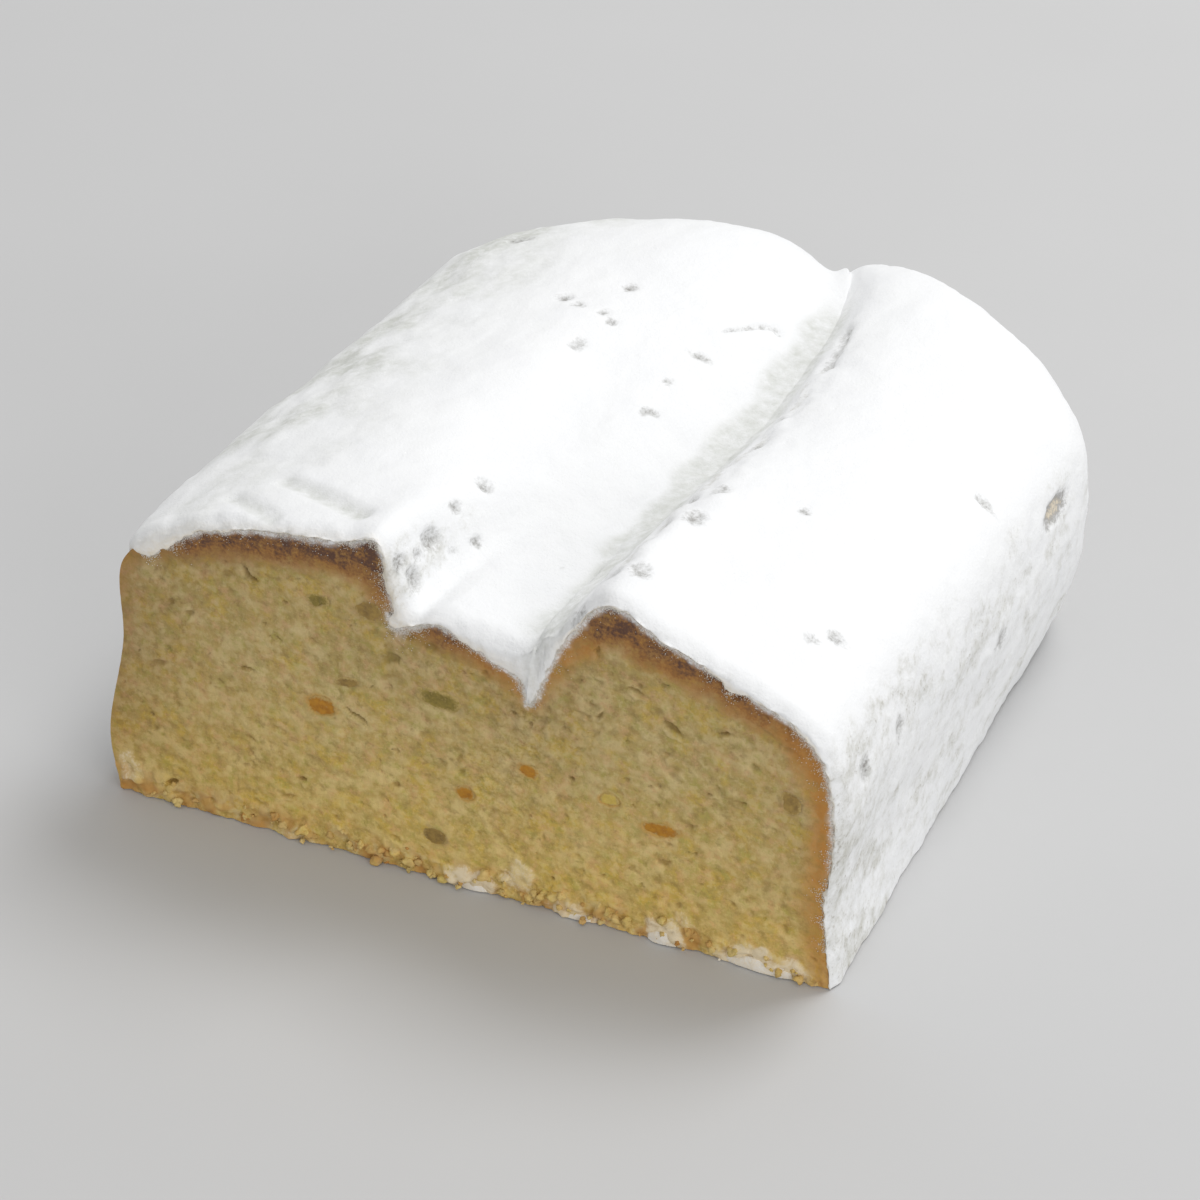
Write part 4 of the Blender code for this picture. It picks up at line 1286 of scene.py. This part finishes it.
# %% Sugar grains
GRAIN_COUNT, GRAIN_SMALLEST, GRAIN_LARGEST = 14000, 0.03, 0.10
draw = np.random.default_rng(21)
grain_at = draw.uniform(mark_at("left shoulder") + 0.3, mark_at("right flank") + 0.5, GRAIN_COUNT)
grain_line = curve_through(AT_CUT, grain_at)
ahead = curve_through(AT_CUT, grain_at + 0.02) - grain_line
inward = np.stack([ahead[:, 1], -ahead[:, 0]], axis=-1)
inward /= np.linalg.norm(inward, axis=1, keepdims=True)
lap_here = np.interp(grain_at, coat_at, lap)
along_edge = np.column_stack([grain_line, np.zeros(GRAIN_COUNT)])
spread = 0.42 + 0.5 * np.exp(-((grain_at - mark_at("step foot") + 0.2) / 0.5) ** 2)
spread = spread * np.clip(1.0 + 1.5 * layered(along_edge, 2.6, 2, seed=133), 0.1, 2.2)
grain_in = lap_here + draw.exponential(spread) - 0.15
grain_place = grain_line + inward * grain_in[:, None]
grain_size = draw.uniform(GRAIN_SMALLEST, GRAIN_LARGEST, (GRAIN_COUNT, 1))
grain_size = grain_size * draw.uniform(0.7, 1.3, (GRAIN_COUNT, 3))
grain_y = -0.6 * relief_at(*grain_place.T) - draw.uniform(0.0, 0.12, GRAIN_COUNT)
grain_points = np.column_stack([grain_place[:, 0], grain_y, grain_place[:, 1]])
scatter("sugar_grains", grain_points, grain_size, sugar_material, 22, 1, 4, 0.3,
        {"cream": np.full(GRAIN_COUNT, 0.30), "thin_and_shade": np.full(GRAIN_COUNT, 0.5)})

# %% [markdown]
# ### Heaps
# The slice stood in its own sugar, and some of it still leans against the foot of the cut in
# low, cream-coloured heaps. A heap is one broad, smooth lump along the foot with small ones
# round it.

# %% Sugar heaps
HEAPS = [  # middle X, Y, Z and half lengths of the heaps
    (36.3, 0.0, 0.3, 2.6, 0.8, 2.2), (53.2, 0.0, 0.0, 5.8, 0.8, 2.0),
    (1.0, 0.1, 0.0, 4.2, 0.8, 2.0), (20.6, 0.0, 0.0, 3.2, 0.7, 1.0),
]
LUMPS_PER_HEAP = 10
draw = np.random.default_rng(31)
heaps = np.array(HEAPS)
small = np.repeat(heaps, LUMPS_PER_HEAP, axis=0)
small[:, :3] += draw.normal(0.0, [0.6, 0.35, 0.5], small[:, :3].shape) * small[:, 3:]
shares = draw.uniform(0.12, 0.36, (len(small), 1))
small[:, 3:] = shares * draw.uniform(0.8, 1.2, small[:, 3:].shape)
small[:, 2] = np.maximum(small[:, 2], small[:, 5] * 0.6)
scatter("sugar_heaps", heaps[:, :3], heaps[:, 3:], sugar_material, 32, 24, 48, 0.22,
        {"cream": np.full(len(heaps), 0.55)}, turned=False)
scatter("sugar_clumps", small[:, :3], small[:, 3:], sugar_material, 33, 6, 12, 0.25,
        {"cream": np.full(len(small), 0.50)})

# %% [markdown]
# ### Crumbs
# The knife drags crumbs down to the board. Most cling to the foot of the cut; a few lie in
# front of it.

# %% Bread crumbs
CRUMB_COUNT = 120
draw = np.random.default_rng(41)
crumb_x = np.where(draw.uniform(size=CRUMB_COUNT) < 0.6, draw.normal(2.0, 24.0, CRUMB_COUNT),
                   draw.uniform(-60.0, 62.0, CRUMB_COUNT))
crumb_x = np.clip(crumb_x, -61.0, 63.0)
crumb_half = 0.22 + 0.65 * draw.uniform(size=CRUMB_COUNT) ** 2.2
crumb_z = np.abs(draw.normal(0.0, 1.7, CRUMB_COUNT)) + crumb_half * 0.6
reach_out = np.where(crumb_z < 1.0, 1.0, 0.1)
crumb_y = -0.8 * relief_at(crumb_x, crumb_z) - draw.uniform(-0.3, 1.0, CRUMB_COUNT) * reach_out
crumb_places = np.column_stack([crumb_x, crumb_y, crumb_z])
crumb_sizes = crumb_half[:, None] * draw.uniform(0.7, 1.35, (CRUMB_COUNT, 3))
# Their relief note gives each crumb the painted highlight of raised crumb, and their height note
# brightens them by varying amounts as the painted light of the foot.
scatter("bread_crumbs", crumb_places, crumb_sizes, crumb_material, 42, 8, 14, 0.7,
        {"relief": np.full(CRUMB_COUNT, 0.22), "height": draw.uniform(0, 20, CRUMB_COUNT),
         "baked": 0.8 * draw.uniform(0, 1, CRUMB_COUNT) ** 4, "rough": np.full(CRUMB_COUNT, 0.6)})

# %% [markdown]
# ## Floor, light and camera
# The loaf stands on a plain pale floor. One large soft lamp hangs over and behind it, so that
# the top is bright and the cut face is in soft shade. A weaker one fills from the front right,
# and a pale sky lights the rest.

# %% Floor
FLOOR_HALF, FLOOR_DROP = 3.0, 0.0002


def plain_floor():
    """A wide pale plane, not part of the object."""
    recipe = Recipe("floor")
    shade = recipe.grain(60.0, 2.0)
    colour = recipe.mix(shade, (0.54, 0.54, 0.54), (0.56, 0.56, 0.56))
    material = recipe.finish(Base_Color=colour, Roughness=0.9)
    mesh = bpy.data.meshes.new("floor")
    signs = [(-1, -1), (1, -1), (1, 1), (-1, 1)]
    corners = [(x * FLOOR_HALF, y * FLOOR_HALF, -FLOOR_DROP) for x, y in signs]
    mesh.from_pydata(corners, [], [(0, 1, 2, 3)])
    mesh.materials.append(material)
    floor = bpy.data.objects.new("floor", mesh)
    bpy.context.collection.objects.link(floor)


plain_floor()

# %% Lamps
middle_of_part = (cad_low + cad_high) / 2


def lamp(name, azimuth, elevation, distance, size, power):
    """A square lamp aimed at the part. Azimuth 0 stands in front of the cut face."""
    data = bpy.data.lights.new(name, "AREA")
    data.shape = "SQUARE"
    data.size = size
    data.energy = power
    around, up = radians(azimuth), radians(elevation)
    away = Vector((sin(around) * cos(up), -cos(around) * cos(up), sin(up)))
    thing = bpy.data.objects.new(name, data)
    thing.location = middle_of_part + away * distance
    thing.rotation_euler = away.to_track_quat("Z", "Y").to_euler()
    bpy.context.collection.objects.link(thing)


lamp("overhead", 150, 62, 1.3, 0.6, 9.0)
lamp("fill", 52, 16, 1.5, 1.0, 6.6)
world = bpy.data.worlds.new("studio")
world.use_nodes = True
world.node_tree.nodes["Background"].inputs["Color"].default_value = (1.0, 1.0, 1.0, 1.0)
world.node_tree.nodes["Background"].inputs["Strength"].default_value = 0.60
bpy.context.scene.world = world
bpy.context.scene.view_settings.view_transform = "Standard"

# %% [markdown]
# The camera looks down at the cut and the right wall from 60 cm away. From there the far end
# looks clearly smaller than the cut, and a long lens lets the loaf fill the frame.

# %% Camera
CAMERA_AZIMUTH, CAMERA_ELEVATION = radians(23.72), radians(35.5)
CAMERA_DISTANCE, FIELD_OF_VIEW = 0.600, radians(17.46)
LOOK_AT = [24.945, 0.0, 65.215]
look_at = Vector(to_frame(LOOK_AT).tolist())
away = Vector((sin(CAMERA_AZIMUTH) * cos(CAMERA_ELEVATION),
               -cos(CAMERA_AZIMUTH) * cos(CAMERA_ELEVATION), sin(CAMERA_ELEVATION)))
camera_data = bpy.data.cameras.new("camera")
camera_data.sensor_width = 36.0
camera_data.lens = camera_data.sensor_width / (2 * tan(FIELD_OF_VIEW / 2))
camera_data.clip_start = 0.01
camera = bpy.data.objects.new("camera", camera_data)
camera.location = look_at + away * CAMERA_DISTANCE
camera.rotation_euler = away.to_track_quat("Z", "Y").to_euler()
bpy.context.collection.objects.link(camera)
bpy.context.scene.camera = camera
print("lens:", round(camera_data.lens, 1), "mm")

# %% Sizes and the end
print("solids:", [round(v * 1000, 1) for v in (*cad_low, *cad_high)])
